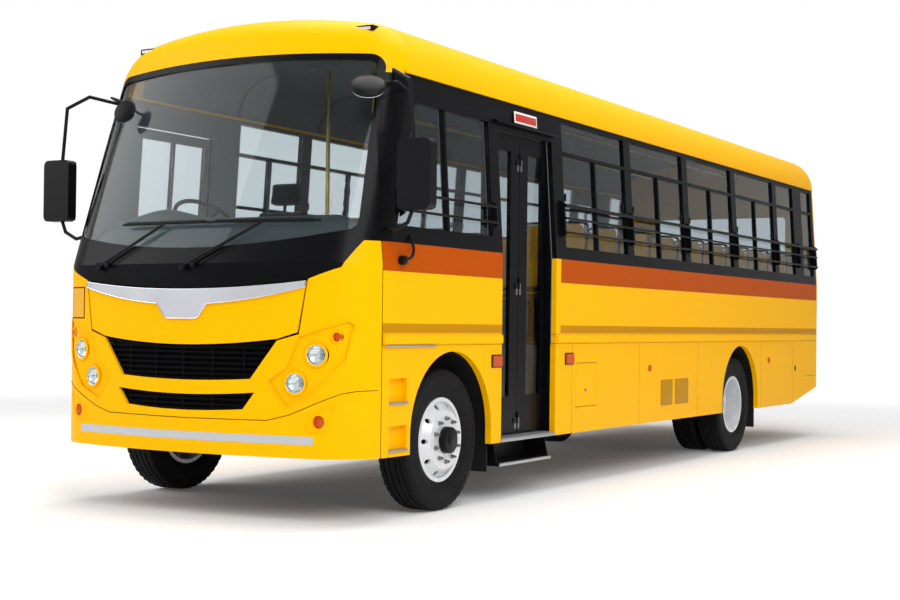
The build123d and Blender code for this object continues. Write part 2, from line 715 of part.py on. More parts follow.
def flap_hinges():
    """A pin between two lugs for each gooseneck, fixed behind the windscreen surround."""
    parts = []
    for x in NECK_XS:
        wall = front_surface_y(x, FLAP_AXIS_Z) + WALL
        bracket = block((x - 40.0, x + 40.0), (wall - 20.0, wall + 10.0), (FLAP_AXIS_Z - 30.0, FLAP_AXIS_Z + 30.0))
        for offset in (-24.0, 18.0):
            bracket += block((x + offset, x + offset + 6.0), (wall - 20.0, FLAP_AXIS_Y + 14.0),
                             (FLAP_AXIS_Z - 14.0, FLAP_AXIS_Z + 14.0))
        bracket &= envelope(WALL + SEAT)
        bracket -= rod((x - 18.0, FLAP_AXIS_Y, FLAP_AXIS_Z), (x + 18.0, FLAP_AXIS_Y, FLAP_AXIS_Z), 18.0)
        pin = rod((x - 24.0, FLAP_AXIS_Y, FLAP_AXIS_Z), (x + 24.0, FLAP_AXIS_Y, FLAP_AXIS_Z), 6.0)
        parts.append(bracket + pin)
    return group(parts)


# ---- side details -----------------------------------------------------------------------------------
MOULDING_Z = 1100.0
MOULDING_H = 70.0
MOULDING_OUT = 16.0
FOOT_POCKETS = ((FRONT_AXLE_Y - 770.0, FRONT_AXLE_Y - 560.0, 745.0, 895.0),
                (FRONT_AXLE_Y - 770.0, FRONT_AXLE_Y - 560.0, 452.0, 600.0))
FUEL_FLAP_Y = (FRONT_AXLE_Y + 1930.0, FRONT_AXLE_Y + 2320.0)
FUEL_FLAP_Z = (610.0, 940.0)
FUEL_FLAP_T = 6.0
FUEL_BEAD_R = 5.0
FUEL_RECESS_X = HALF - 30.0
FUEL_AXIS_X = HALF - 4.0
FUEL_RECESS_Y = (FUEL_FLAP_Y[0] - 5.0, FUEL_FLAP_Y[1] + 5.0)
FUEL_RECESS_Z = (FUEL_FLAP_Z[0] - 5.0, FUEL_FLAP_Z[1] + SEAT)


def foot_pocket(side, pocket):
    """A foothold sunk into the skirt, open outward, its back sloping in."""
    y0, y1, z0, z1 = pocket
    low, high = sorted((side * (HALF - 40.0), side * (HALF + 10.0)))
    return block((low, high), (y0, y1), (z0, z1))


def side_moulding(side):
    """The raised rubbing strip along one side, broken at the doors and the panel joints."""
    z0 = MOULDING_Z
    z1 = MOULDING_Z + MOULDING_H
    profile = [(HALF, z0), (HALF + MOULDING_OUT, z0 + 10), (HALF + MOULDING_OUT, z1 - 10), (HALF, z1)]
    if side > 0:
        runs = [(FRONT_SEAM_Y + 4.0, DOOR_FRONT_Y - 8.0), (DOOR_REAR_Y + 8.0, REAR_SEAM_Y - 620.0)]
    else:
        runs = [(FRONT_SEAM_Y + 4.0, REAR_SEAM_Y - 620.0)]
    strips = [prism_y([(side * x, z) for x, z in profile], y0, y1) for y0, y1 in runs]
    return group(strips)


def side_mouldings():
    return group([side_moulding(1), side_moulding(-1)])


def fuel_flap():
    """A thin door hung on a rolled bead along its top edge."""
    y0, y1 = FUEL_FLAP_Y
    z0, z1 = FUEL_FLAP_Z
    axis_z = z1 - FUEL_BEAD_R
    sheet = block((HALF - FUEL_FLAP_T, HALF), (y0, y1), (z0, axis_z))
    return sheet + rod((FUEL_AXIS_X, y0, axis_z), (FUEL_AXIS_X, y1, axis_z), FUEL_BEAD_R)


GUARD_ZS = ((2150.0, 14.0), (2055.0, 9.0), (1945.0, 9.0))
GUARD_OUT = 34.0


def side_x(z):
    """The half width of the outside at one height on the straight sides."""
    top = ROOF_Z - CROWN_R + sqrt((CROWN_R - COVE_R) ** 2 - (EAVES_HALF - COVE_R) ** 2)
    if z < WAIST_Z:
        return HALF
    return HALF - (HALF - EAVES_HALF) * (z - WAIST_Z) / (top - WAIST_Z)


def window_guards(side):
    """Level bars outside the panes, on brackets at the pillars."""
    if side > 0:
        spans = [(BAYS[0][0] - 60.0, REAR_QUARTER[1] + 60.0)]
    else:
        spans = [(RIGHT_FIRST[0] - 40.0, EMERGENCY_DOOR[0] - 24.0)]
    posts = [y0 - 66.0 for y0, y1 in BAYS]
    if side > 0:
        posts += [HALF_BAY[0] - 65.0, HALF_BAY[1] + 100.0, REAR_QUARTER[1] + 40.0]
    else:
        posts += [RIGHT_FIRST[0] - 25.0, HALF_BAY[0] - 70.0]
    shape = None
    for z, radius in GUARD_ZS:
        for y0, y1 in spans:
            x = side * (side_x(z) + GUARD_OUT)
            bar = rod((x, y0, z), (x, y1, z), radius)
            shape = bar if shape is None else shape + bar
    z0, z1 = GUARD_ZS[-1][0] - 40.0, GUARD_ZS[0][0] + 40.0
    for y in posts:
        outline = [(side_x(z0), z0), (side_x(z0) + GUARD_OUT, z0 + 20), (side_x(z1) + GUARD_OUT, z1 - 20),
                   (side_x(z1), z1)]
        shape += prism_y([(side * x, z) for x, z in outline], y - 12.0, y + 12.0)
    if side > 0:
        cab = None
        for z, radius in GUARD_ZS[1:]:
            x = side_x(z) + GUARD_OUT
            bar = rod((x, CAB_WINDOW[0] + (z - CAB_WINDOW_Z[0]) * SLOPE - 20.0, z), (x, CAB_WINDOW[1] + 30.0, z), radius)
            cab = bar if cab is None else cab + bar
        for y in (CAB_WINDOW[0] + 40.0, CAB_WINDOW[1] + 18.0):
            z0, z1 = 1905.0, 2095.0
            outline = [(side_x(z0), z0), (side_x(z0) + GUARD_OUT, z0 + 20), (side_x(z1) + GUARD_OUT, z1 - 20),
                       (side_x(z1), z1)]
            cab += prism_y(outline, y - 10.0, y + 10.0)
        return group([shape, cab])
    return shape


# ---- doors on the driver's side ---------------------------------------------------------------------
SIDE_DOOR_WINDOW_Z = (1850.0, 2560.0)
SIDE_DOOR_STILE = 75.0
KNUCKLE_R = 8.0
KNUCKLE_H = 40.0
HINGE_ZS = (1300.0, 1650.0, 2350.0)


def side_door_outline(y0, y1, grow):
    z0, z1 = SIDE_DOOR_Z
    return grown(pane(y0, y1, z0, z1), grow)


def side_door_opening(y0, y1):
    return through_side(side_door_outline(y0, y1, 0.0), -1)


def side_door_panes(y0, y1):
    """The door's window, with one divider."""
    z0, z1 = SIDE_DOOR_WINDOW_Z
    middle = (y0 + y1) / 2
    bar = FRAME_BAR / 2
    return [pane(y0 + SIDE_DOOR_STILE, middle - bar, z0, z1), pane(middle + bar, y1 - SIDE_DOOR_STILE, z0, z1)]


def side_door(y0, y1):
    """A door leaf of the body's own section, with its moving hinge knuckles."""
    leaf = side_layer(0.0, SIDE_DOOR_T) & through_side(side_door_outline(y0, y1, -SIDE_DOOR_GAP), -1)
    for points in side_door_panes(y0, y1):
        leaf -= through_side(points, -1)
    for z in HINGE_ZS:
        leaf += hinge_half(y0, z + SEAT, 1)
    return leaf


def side_door_glass(y0, y1):
    layer = side_layer(GLASS_INSET, GLASS_INSET + GLASS_T)
    return group([layer & through_side(grown(points, -SEAT), -1) for points in side_door_panes(y0, y1)])


def hinge_half(y0, z, direction):
    """A knuckle on the hinge line, and its lug onto the skin: behind the line +1, ahead of it -1."""
    x = -(HALF + HINGE_OUT)
    y = y0 + SIDE_DOOR_GAP / 2
    knuckle = rod((x, y, z), (x, y, z + KNUCKLE_H), KNUCKLE_R)
    z_low, z_high = z, z + KNUCKLE_H
    reach = sorted((y + direction * (SIDE_DOOR_GAP / 2 + 1.0), y + direction * 46.0))
    lug = prism_y([(x, z_low), (x, z_high), (-side_x(z_high), z_high), (-side_x(z_low), z_low)], reach[0], reach[1])
    web = block((x - 3.0, x + 3.0), tuple(sorted((y, y + direction * 10.0))), (z_low, z_high))
    return knuckle + web + lug


def side_door_hinges():
    """The fixed knuckles of both doors."""
    return group([hinge_half(y0, z - KNUCKLE_H, -1) for y0, y1 in (DRIVER_DOOR, EMERGENCY_DOOR) for z in HINGE_ZS])


# ---- entrance ---------------------------------------------------------------------------------------
LEAF_JAMB_GAP = 12.0
LEAF_PIN_OUT = 6.0
LEAF_Z = (SILL_Z + 12.0, DOOR_TOP_Z - 12.0)
LEAF_MIDDLE_Y = (DOOR_FRONT_Y + DOOR_REAR_Y) / 2
LEAF_PIVOT = (LEAF_FACE_X - LEAF_T / 2, DOOR_FRONT_Y + LEAF_JAMB_GAP + LEAF_T / 2)
LEAF_FOLD = (LEAF_FACE_X + LEAF_PIN_OUT, LEAF_MIDDLE_Y)
LEAF_STILE = 45.0
LEAF_INNER_STILE = 130.0
LEAF_WINDOW_Z = (720.0, 2490.0)
POST_W = 55.0
POST_INNER_X = 1095.0
PIVOT_R = 8.0


def leaf_span(which):
    """A leaf's two ends: the front leaf is 0 and the rear leaf is 1."""
    if which == 0:
        return DOOR_FRONT_Y + LEAF_JAMB_GAP, LEAF_MIDDLE_Y - GAP / 2
    return LEAF_MIDDLE_Y + GAP / 2, DOOR_REAR_Y - LEAF_JAMB_GAP


def leaf_window(which):
    """A leaf's tall window, with its wide stile at the fold."""
    y0, y1 = leaf_span(which)
    stiles = (LEAF_STILE, LEAF_INNER_STILE) if which == 0 else (LEAF_INNER_STILE, LEAF_STILE)
    return y0 + stiles[0], y1 - stiles[1]


def door_leaf(which):
    """One folding leaf with its window cut and its hinge knuckles."""
    y0, y1 = leaf_span(which)
    leaf = block((LEAF_FACE_X - LEAF_T, LEAF_FACE_X), (y0, y1), LEAF_Z)
    leaf -= block((0.0, HALF), leaf_window(which), LEAF_WINDOW_Z)
    x, y = LEAF_FOLD
    for z in FOLD_ZS:
        start = z + which * (KNUCKLE_H + SEAT)
        knuckle = rod((x, y, start), (x, y, start + KNUCKLE_H), LEAF_PIN_OUT)
        toward = sorted((y, y + (60.0 if which else -60.0)))
        plate = block((LEAF_FACE_X, x), toward, (start, start + KNUCKLE_H))
        leaf += knuckle + plate
    if which == 0:
        px, py = LEAF_PIVOT
        for z in (LEAF_Z[0] - 12.0 + SEAT, LEAF_Z[1] - 20.0):
            leaf += rod((px, py, z), (px, py, z + 32.0 - SEAT), PIVOT_R)
    return leaf


FOLD_ZS = (520.0, 1500.0, 2400.0)


def door_leaf_glass(which):
    y0, y1 = leaf_window(which)
    z0, z1 = LEAF_WINDOW_Z
    middle = LEAF_FACE_X - LEAF_T / 2
    return block((middle - GLASS_T / 2, middle + GLASS_T / 2), (y0 + SEAT, y1 - SEAT), (z0 + SEAT, z1 - SEAT))


def door_frame():
    """The entrance's two posts and its header, inside the wall."""
    low = SILL_Z
    posts = block((POST_INNER_X, HALF), (DOOR_FRONT_Y - POST_W, DOOR_FRONT_Y), (low, DOOR_TOP_Z + 60.0))
    posts += block((POST_INNER_X, HALF), (DOOR_REAR_Y, DOOR_REAR_Y + POST_W), (low, DOOR_TOP_Z + 60.0))
    posts += block((POST_INNER_X - 30.0, HALF), (DOOR_FRONT_Y - POST_W, DOOR_REAR_Y + POST_W),
                   (DOOR_TOP_Z, DOOR_TOP_Z + 60.0))
    return posts & envelope(WALL)


def step_well():
    """Three treads and their risers between two side plates, open to the door."""
    y0 = DOOR_FRONT_Y - POST_W
    y1 = DOOR_REAR_Y + POST_W
    outer = HALF - WALL
    shape = None
    edge = outer
    for inner, z in zip(TREAD_XS, TREAD_ZS):
        tread = block((inner, edge), (y0, y1), (z - STEP_T, z))
        shape = tread if shape is None else shape + tread
        next_z = z + (FLOOR_Z - SILL_Z) / 3
        shape += block((inner - STEP_T, inner), (y0, y1), (z - STEP_T, min(next_z, FLOOR_Z - FLOOR_THICKNESS)))
        edge = inner
    profile = [(outer, SILL_Z - STEP_T), (TREAD_XS[0] - STEP_T, SILL_Z - STEP_T),
               (TREAD_XS[0] - STEP_T, TREAD_ZS[1] - STEP_T), (TREAD_XS[1] - STEP_T, TREAD_ZS[1] - STEP_T),
               (TREAD_XS[1] - STEP_T, TREAD_ZS[2] - STEP_T), (TREAD_XS[2] - STEP_T, TREAD_ZS[2] - STEP_T),
               (TREAD_XS[2] - STEP_T, FLOOR_Z - FLOOR_THICKNESS), (outer, FLOOR_Z - FLOOR_THICKNESS)]
    shape += prism_y(profile, y0 - STEP_T, y0)
    shape += prism_y(profile, y1, y1 + STEP_T)
    return shape


def entry_step():
    """The low fixed step under the entrance: a tread hung on two side plates."""
    y0 = DOOR_FRONT_Y + 40.0
    y1 = DOOR_REAR_Y - 10.0
    tread = block((1010.0, 1215.0), (y0, y1), (236.0, 260.0))
    top = SILL_Z - STEP_T
    for y in (y0, y1 - 6.0):
        side = [(1205.0, 236.0), (1000.0, 236.0), (960.0, top), (1160.0, top)]
        tread += prism_y(side, y, y + 6.0)
    return tread


# ---- back -------------------------------------------------------------------------------------------
REAR_WINDOW = (820.0, 1880.0, 2560.0)       # half width, sill, head


def rear_wall():
    """The back, round at its corners, with its window cut."""
    wall = (shell() & rear_cap()) - tail_cut()
    half, z0, z1 = REAR_WINDOW
    window = RectangleRounded(2 * half, z1 - z0, 70.0)
    plane = Plane(origin=(0, REAR_Y + 50.0, (z0 + z1) / 2), x_dir=(1, 0, 0), z_dir=(0, -1, 0))
    wall -= extrude(plane * window, 300.0)
    for x, z, width, height in TAIL_LAMPS:
        for side in (1, -1):
            wall -= block(tuple(sorted((side * (x - width / 2), side * (x + width / 2)))),
                          (REAR_Y - 12.0, REAR_Y + 10.0), (z, z + height))
    return wall


TAIL_LAMPS = ((940.0, 900.0, 120.0, 300.0), (940.0, 1240.0, 120.0, 90.0))


def rear_glass():
    half, z0, z1 = REAR_WINDOW
    window = RectangleRounded(2 * (half - SEAT), z1 - z0 - 2 * SEAT, 70.0 - SEAT)
    plane = Plane(origin=(0, REAR_Y - GLASS_INSET, (z0 + z1) / 2), x_dir=(1, 0, 0), z_dir=(0, -1, 0))
    return extrude(plane * window, GLASS_T)


def tail_lamps():
    lamps = []
    for x, z, width, height in TAIL_LAMPS:
        lamp = block((x - width / 2 + SEAT, x + width / 2 - SEAT), (REAR_Y - 12.0, REAR_Y + 8.0),
                     (z + SEAT, z + height - SEAT))
        lamps += pair(lamp)
    return group(lamps)


def rear_bumper():
    """A rounded bar across the back on two brackets."""
    face = RectangleRounded(2 * HALF - 300.0, REAR_BUMPER_DEPTH, 40.0)
    bar = extrude(Pos(0, REAR_Y + REAR_BUMPER_DEPTH / 2, 640.0) * face, 190.0)
    return bar - envelope(0.0)


# ---- wheels: drawn about the X direction, with the tyre's middle at x = 0 and outboard +X ------------
def tyre():
    """A tyre of rounded section on its rim."""
    half = TYRE_W / 2
    bead = RIM_W / 2 - 6.0
    side = [(half * 0.82, TYRE_R), (half * 0.97, TYRE_R - 30.0), (half, TYRE_R - 90.0),
            (half * 0.92, RIM_FLANGE_R + 40.0), (bead, RIM_FLANGE_R + 1.0), (bead, RIM_R)]
    profile = side + [(-x, r) for x, r in reversed(side)]
    return revolve(make_face(Polyline(*profile, close=True)), Axis.X)


def rim(vents):
    """A pressed wheel: a flanged barrel and a disc dished outboard past the rim's edge."""
    half = RIM_W / 2
    outer_r = RIM_R - SEAT
    inner_r = outer_r - 8.0
    profile = [(-half, RIM_FLANGE_R), (-half + 5.0, RIM_FLANGE_R), (-half + 5.0, outer_r), (half - 5.0, outer_r),
               (half - 5.0, RIM_FLANGE_R), (half, RIM_FLANGE_R), (half, inner_r), (DISC_OUT - 55.0, inner_r),
               (DISC_OUT, 195.0), (DISC_OUT, 90.0), (DISC_OUT - DISC_T, 90.0), (DISC_OUT - DISC_T, 189.0),
               (DISC_OUT - 73.0, inner_r), (-half, inner_r)]
    wheel = revolve(make_face(Polyline(*profile, close=True)), Axis.X)
    if vents:
        hole = rod((0, 0, VENT_PCD / 2), (DISC_OUT + 20.0, 0, VENT_PCD / 2), VENT_R)
        for i in range(VENT_COUNT):
            wheel -= Rot(360.0 / VENT_COUNT * (i + 0.5), 0, 0) * hole
    return wheel


def hub(flange_x, nose_x, drum_x):
    """A hub and brake drum on the spindle: drum, wheel flange, and a capped nose."""
    bore = SPINDLE_R + RUNNING
    profile = [(drum_x, bore), (drum_x, DRUM_R), (drum_x + 110.0, DRUM_R), (drum_x + 118.0, 110.0),
               (flange_x - 14.0, 110.0), (flange_x - 14.0, 168.0), (flange_x, 168.0), (flange_x, 88.0),
               (nose_x - 22.0, 84.0), (nose_x, 62.0), (nose_x, 0.0), (nose_x - 12.0, 0.0), (nose_x - 12.0, bore)]
    return revolve(make_face(Polyline(*profile, close=True)), Axis.X)


FRONT_HUB = (DISC_OUT - DISC_T, DISC_OUT + 40.0, -92.0)          # flange, nose, drum back
REAR_HUB = (-DISC_OUT - DISC_T, -20.0, -DISC_OUT - 200.0)


def at_wheel(shape, side, axle_y):
    """A wheel piece set on its axle end, outboard side out."""
    if side < 0:
        shape = mirrored(shape)
    return Pos(side * WHEEL_X, axle_y, TYRE_R) * shape


def front_tyre(side):
    return at_wheel(tyre(), side, FRONT_AXLE_Y)


def front_wheel(side):
    return at_wheel(rim(True) + hub(*FRONT_HUB), side, FRONT_AXLE_Y)


def twin_tyres(side):
    return at_wheel(group([tyre(), Pos(-TWIN_PITCH, 0, 0) * tyre()]), side, REAR_AXLE_Y)


def twin_wheels(side):
    """Two wheels on one hub, their discs back to back."""
    wheels = mirrored(rim(True)) + Pos(-TWIN_PITCH, 0, 0) * rim(False)
    return at_wheel(wheels + hub(*REAR_HUB), side, REAR_AXLE_Y)


# ---- front axle and steering ------------------------------------------------------------------------
KINGPIN_R = 20.0
EYE_R = 42.0
EYE_Z = (TYRE_R - 40.0, TYRE_R + 40.0)
EAR_GAP = 5.0
EAR_T = 35.0
EAR_R = 45.0
BEAM_W = 90.0
BEAM_WEB = 24.0
BEAM_PAD_Z = 450.0
ARM_LENGTH = 180.0
ARM_IN = 20.0
ARM_Z = EYE_Z[0] - EAR_GAP - EAR_T / 2


def both_halves(upper, lower):
    """A closed outline from the right half of its upper edge, outside in, and of its lower, inside out."""
    return upper + [(-x, z) for x, z in reversed(upper)] + [(-x, z) for x, z in reversed(lower)] + lower


def front_axle():
    """A dropped I beam with an upright eye at each end."""
    upper = [(880.0, TYRE_R + 35.0), (650.0, TYRE_R + 35.0), (520.0, BEAM_PAD_Z)]
    lower = [(540.0, BEAM_PAD_Z - 80.0), (670.0, TYRE_R - 35.0), (880.0, TYRE_R - 35.0)]
    beam = prism_y(both_halves(upper, lower), FRONT_AXLE_Y - BEAM_W / 2, FRONT_AXLE_Y + BEAM_W / 2)
    upper = [(840.0, TYRE_R + 20.0), (640.0, TYRE_R + 20.0), (510.0, BEAM_PAD_Z - 16.0)]
    lower = [(530.0, BEAM_PAD_Z - 64.0), (680.0, TYRE_R - 20.0), (840.0, TYRE_R - 20.0)]
    hollow = both_halves(upper, lower)
    for low, high in ((-BEAM_W, -BEAM_WEB / 2), (BEAM_WEB / 2, BEAM_W)):
        beam -= prism_y(hollow, FRONT_AXLE_Y + low, FRONT_AXLE_Y + high)
    for side in (1, -1):
        x = side * KINGPIN_X
        beam += rod((x, FRONT_AXLE_Y, EYE_Z[0]), (x, FRONT_AXLE_Y, EYE_Z[1]), EYE_R)
        beam -= rod((x, FRONT_AXLE_Y, EYE_Z[0] - 10), (x, FRONT_AXLE_Y, EYE_Z[1] + 10), KINGPIN_R + RUNNING)
    return beam


def knuckle(side):
    """A fork round the beam's eye with its kingpin, the wheel's spindle and a steering arm."""
    low = EYE_Z[0] - EAR_GAP
    high = EYE_Z[1] + EAR_GAP
    shape = rod((0, 0, low - EAR_T), (0, 0, high + EAR_T), KINGPIN_R)
    for z in (low - EAR_T, high):
        shape += rod((0, 0, z), (0, 0, z + EAR_T), EAR_R)
        shape += block((0.0, 75.0), (-EAR_R, EAR_R), (z, z + EAR_T))
    shape += block((EYE_R + 8.0, 75.0), (-EAR_R, EAR_R), (low - EAR_T, high + EAR_T))
    tip = WHEEL_X - KINGPIN_X + FRONT_HUB[1] - 12.0 - SEAT
    shape += rod((60.0, 0, TYRE_R), (tip, 0, TYRE_R), SPINDLE_R)
    arm = [(-14.0, 20.0), (30.0, 20.0), (-ARM_IN + 22.0, ARM_LENGTH), (-ARM_IN - 22.0, ARM_LENGTH)]
    shape += prism_z(arm, ARM_Z - EAR_T / 2, ARM_Z + EAR_T / 2)
    shape += rod((-ARM_IN, ARM_LENGTH, ARM_Z - EAR_T / 2), (-ARM_IN, ARM_LENGTH, ARM_Z + EAR_T / 2), 22.0)
    if side < 0:
        shape = mirrored(shape)
    return Pos(side * KINGPIN_X, FRONT_AXLE_Y, 0) * shape


# ---- rear axle --------------------------------------------------------------------------------------
REAR_TUBE_R = 65.0
DIFF_R = 168.0
REAR_PAD_Z = TYRE_R + REAR_TUBE_R + 12.0
PROP_R = 42.0
PROP_FRONT = (0.0, FRONT_AXLE_Y + 420.0, 720.0)


def rear_axle():
    """A tube with a banjo at its middle, spring pads, and a spindle at each end."""
    drum_back = WHEEL_X + REAR_HUB[2]
    tip = WHEEL_X + REAR_HUB[1] - 12.0 - SEAT
    shape = rod((-drum_back + 12.0, REAR_AXLE_Y, TYRE_R), (drum_back - 12.0, REAR_AXLE_Y, TYRE_R), REAR_TUBE_R)
    shape += rod((-tip, REAR_AXLE_Y, TYRE_R), (tip, REAR_AXLE_Y, TYRE_R), SPINDLE_R)
    shape += rod((0, REAR_AXLE_Y - 110.0, TYRE_R), (0, REAR_AXLE_Y + 110.0, TYRE_R), DIFF_R)
    cone = Plane(origin=(0, REAR_AXLE_Y - 100.0, TYRE_R), z_dir=(0, -1, 0))
    shape += loft([cone * Circle(110.0), cone.offset(190.0) * Circle(48.0)])
    for side in (1, -1):
        x = side * SPRING_X
        shape += block((x - 40.0, x + 40.0), (REAR_AXLE_Y - 60.0, REAR_AXLE_Y + 60.0), (TYRE_R, REAR_PAD_Z))
    return shape


def prop_shaft():
    """The shaft from the gearbox to the rear axle, with a flange at each end."""
    end = Vector(0.0, REAR_AXLE_Y - 290.0 - SEAT, TYRE_R)
    start = Vector(*PROP_FRONT)
    along = (end - start).normalized()
    shape = rod(tuple(start), tuple(end - along * 6.0), PROP_R)
    shape += rod(tuple(start - along * 20.0), tuple(start + along * 40.0), 70.0)
    shape += rod(tuple(end - along * 30.0), tuple(end - along * 6.0), 55.0)
    return shape


# ---- chassis ----------------------------------------------------------------------------------------
CROSS_YS = (RAIL_FRONT_Y + 60.0, FRONT_AXLE_Y + 700.0, -1500.0, 100.0, REAR_AXLE_Y - 700.0, REAR_AXLE_Y + 900.0,
            RAIL_REAR_Y - 60.0)
CROSS_H = 90.0
SPRINGS = (                 # axle, seat height, half span, rise to the eyes
    (FRONT_AXLE_Y, BEAM_PAD_Z, 640.0, 46.0),
    (REAR_AXLE_Y, REAR_PAD_Z, 690.0, 14.0),
)
SPRING_T = 60.0
SPRING_EYE_R = 22.0
TOW_EYE_R = 22.0
TOW_EYE_T = 30.0
TOW_EYE_OUT = 30.0
TOW_EYE_Z = 585.0


def chassis_frame():
    """Two channel rails, their cross members, spring hangers and the towing eyes."""
    rails = []
    for side in (1, -1):
        outer = side * RAIL_OUTER_X
        web = side * (RAIL_OUTER_X - RAIL_T)
        tip = side * (RAIL_OUTER_X - RAIL_FLANGE)
        z0 = RAIL_TOP_Z - RAIL_H
        z1 = RAIL_TOP_Z
        outline = [(outer, z0), (tip, z0), (tip, z0 + RAIL_T), (web, z0 + RAIL_T), (web, z1 - RAIL_T),
                   (tip, z1 - RAIL_T), (tip, z1), (outer, z1)]
        rails.append(prism_y(outline, RAIL_FRONT_Y, RAIL_REAR_Y))
    frame = rails[0] + rails[1]
    half = RAIL_OUTER_X - RAIL_T
    for y in CROSS_YS:
        z1 = RAIL_TOP_Z - RAIL_T
        frame += block((-half, half), (y - 35.0, y + 35.0), (z1 - 8.0, z1))
        frame += block((-half, half), (y - 35.0, y - 27.0), (z1 - CROSS_H, z1))
    for axle_y, seat_z, span, rise in SPRINGS:
        for end in (-1, 1):
            y = axle_y + end * span
            for side in (1, -1):
                frame += spring_hanger(side * SPRING_X, y, seat_z + SPRING_T + rise)
    for y, direction in ((RAIL_FRONT_Y, -1), (RAIL_REAR_Y, 1)):
        frame += tow_eye(y, direction)
    return frame + bearers()


def tow_eye(end_y, direction):
    """A plate under the kerb-side rail's end, drilled across, that reaches past it."""
    z = RAIL_TOP_Z - RAIL_H
    eye_y = end_y + direction * TOW_EYE_OUT
    outline = [(end_y - direction * 160.0, z), (end_y, z), (eye_y + direction * 30.0, TOW_EYE_Z + 50.0),
               (eye_y + direction * 50.0, TOW_EYE_Z + 20.0), (eye_y + direction * 50.0, TOW_EYE_Z - 20.0),
               (eye_y + direction * 20.0, TOW_EYE_Z - 50.0), (eye_y - direction * 40.0, TOW_EYE_Z - 50.0)]
    plate = prism_x(outline, SPRING_X - TOW_EYE_T / 2, SPRING_X + TOW_EYE_T / 2)
    return plate - rod((SPRING_X - TOW_EYE_T, eye_y, TOW_EYE_Z), (SPRING_X + TOW_EYE_T, eye_y, TOW_EYE_Z), TOW_EYE_R)


def spring_hanger(x, y, z):
    """Two cheeks under the rail, round a spring's eye."""
    top = RAIL_TOP_Z - RAIL_H
    low = z - SPRING_EYE_R - 6.0
    shape = None
    for offset in (-SPRING_W / 2 - SEAT - 8.0, SPRING_W / 2 + SEAT):
        outline = [(y - 55.0, top), (y - 28.0, low), (y + 28.0, low), (y + 55.0, top)]
        cheek = prism_x(outline, x + offset, x + offset + 8.0)
        shape = cheek if shape is None else shape + cheek
    return shape + block((x - SPRING_W / 2 - 8.0, x + SPRING_W / 2 + 8.0), (y - 55.0, y + 55.0), (top, top + 8.0))


def leaf_springs():
    """Each pack is stepped leaves under a bowed main leaf with an eye at each end."""
    packs = []
    for axle_y, seat_z, span, rise in SPRINGS:
        pack = leaf_pack(span, seat_z, rise)
        for side in (1, -1):
            packs.append(Pos(side * SPRING_X, axle_y, 0) * pack)
    return group(packs)


def leaf_pack(span, seat_z, rise):
    top_z = seat_z + SPRING_T
    eye_z = top_z + rise
    leaf_t = SPRING_T / 5
    bow_r = (span ** 2 + rise ** 2) / (2 * rise)
    centre_z = top_z + bow_r
    shape = None
    for i in range(5):
        outer_r = bow_r + (i + 1) * leaf_t
        inner_r = bow_r + i * leaf_t
        reach = span * (1.0 - 0.17 * i)
        plane = Plane(origin=(-SPRING_W / 2, 0, centre_z), x_dir=(0, 1, 0), z_dir=(1, 0, 0))
        angle = reach / outer_r
        leaf = arc_band(plane, inner_r, outer_r, angle)
        shape = leaf if shape is None else shape + leaf
    for end in (-1, 1):
        y = end * span
        shape += rod((-SPRING_W / 2, y, eye_z), (SPRING_W / 2, y, eye_z), SPRING_EYE_R)
    seat = block((-SPRING_W / 2, SPRING_W / 2), (-55.0, 55.0), (seat_z + SEAT, top_z + 10.0))
    return shape + seat


def arc_band(plane, inner_r, outer_r, angle):
    """A band of one arc below its centre, swept over a spring's width."""
    def at(radius, turn):
        return radius * sin(turn), -radius * cos(turn)

    edges = ThreePointArc(at(outer_r, -angle), at(outer_r, 0), at(outer_r, angle)).edges()
    edges += Line(at(outer_r, angle), at(inner_r, angle)).edges()
    edges += ThreePointArc(at(inner_r, angle), at(inner_r, 0), at(inner_r, -angle)).edges()
    edges += Line(at(inner_r, -angle), at(outer_r, -angle)).edges()
    return extrude(plane * make_face(edges), SPRING_W)


BEARER_YS = (DOOR_REAR_Y + POST_W + 60.0, -1300.0, -540.0, 220.0, 980.0, REAR_AXLE_Y + 720.0, REAR_AXLE_Y + 1500.0,
             REAR_AXLE_Y + 2250.0)
BEARER_T = 50.0


def bearers():
    """Tapered cross bearers that carry the floor on the rails, and packers over the front axle."""
    top = FLOOR_Z - FLOOR_THICKNESS
    outer = HALF - WALL - SEAT
    outline = [(-outer, top), (-outer, top - 80.0), (-RAIL_OUTER_X, RAIL_TOP_Z), (RAIL_OUTER_X, RAIL_TOP_Z),
               (outer, top - 80.0), (outer, top)]
    beams = [prism_y(outline, y - BEARER_T / 2, y + BEARER_T / 2) for y in BEARER_YS]
    for side in (1, -1):
        across = tuple(sorted((side * (RAIL_OUTER_X - 60.0), side * RAIL_OUTER_X)))
        beams.append(block(across, (RAIL_FRONT_Y + 100.0, FRONT_AXLE_Y + 500.0), (RAIL_TOP_Z, top)))
        beams.append(block(across, (REAR_AXLE_Y - 300.0, REAR_AXLE_Y + 300.0), (RAIL_TOP_Z, top)))
    return group(beams)


ENGINE = ((-300.0, 300.0), (FRONT_AXLE_Y - 640.0, FRONT_AXLE_Y + 200.0), (580.0, 1470.0))
GEARBOX = ((-150.0, 150.0), (FRONT_AXLE_Y + 200.0, FRONT_AXLE_Y + 420.0), (600.0, 860.0))
ENGINE_HOLE = ((-340.0, 340.0), (FRONT_AXLE_Y - 680.0, FRONT_AXLE_Y + 240.0))


def driveline():
    """The engine and its gearbox as one plain mass on two mounts, and the shaft behind them."""
    shape = block(*ENGINE) + block(*GEARBOX)
    rail_inner = RAIL_OUTER_X - RAIL_T
    shape += block((-rail_inner, rail_inner), (FRONT_AXLE_Y - 260.0, FRONT_AXLE_Y - 180.0), (720.0, 780.0))
    return shape + prop_shaft()


DECK_FRONT_Y = FRONT_Y + 200.0


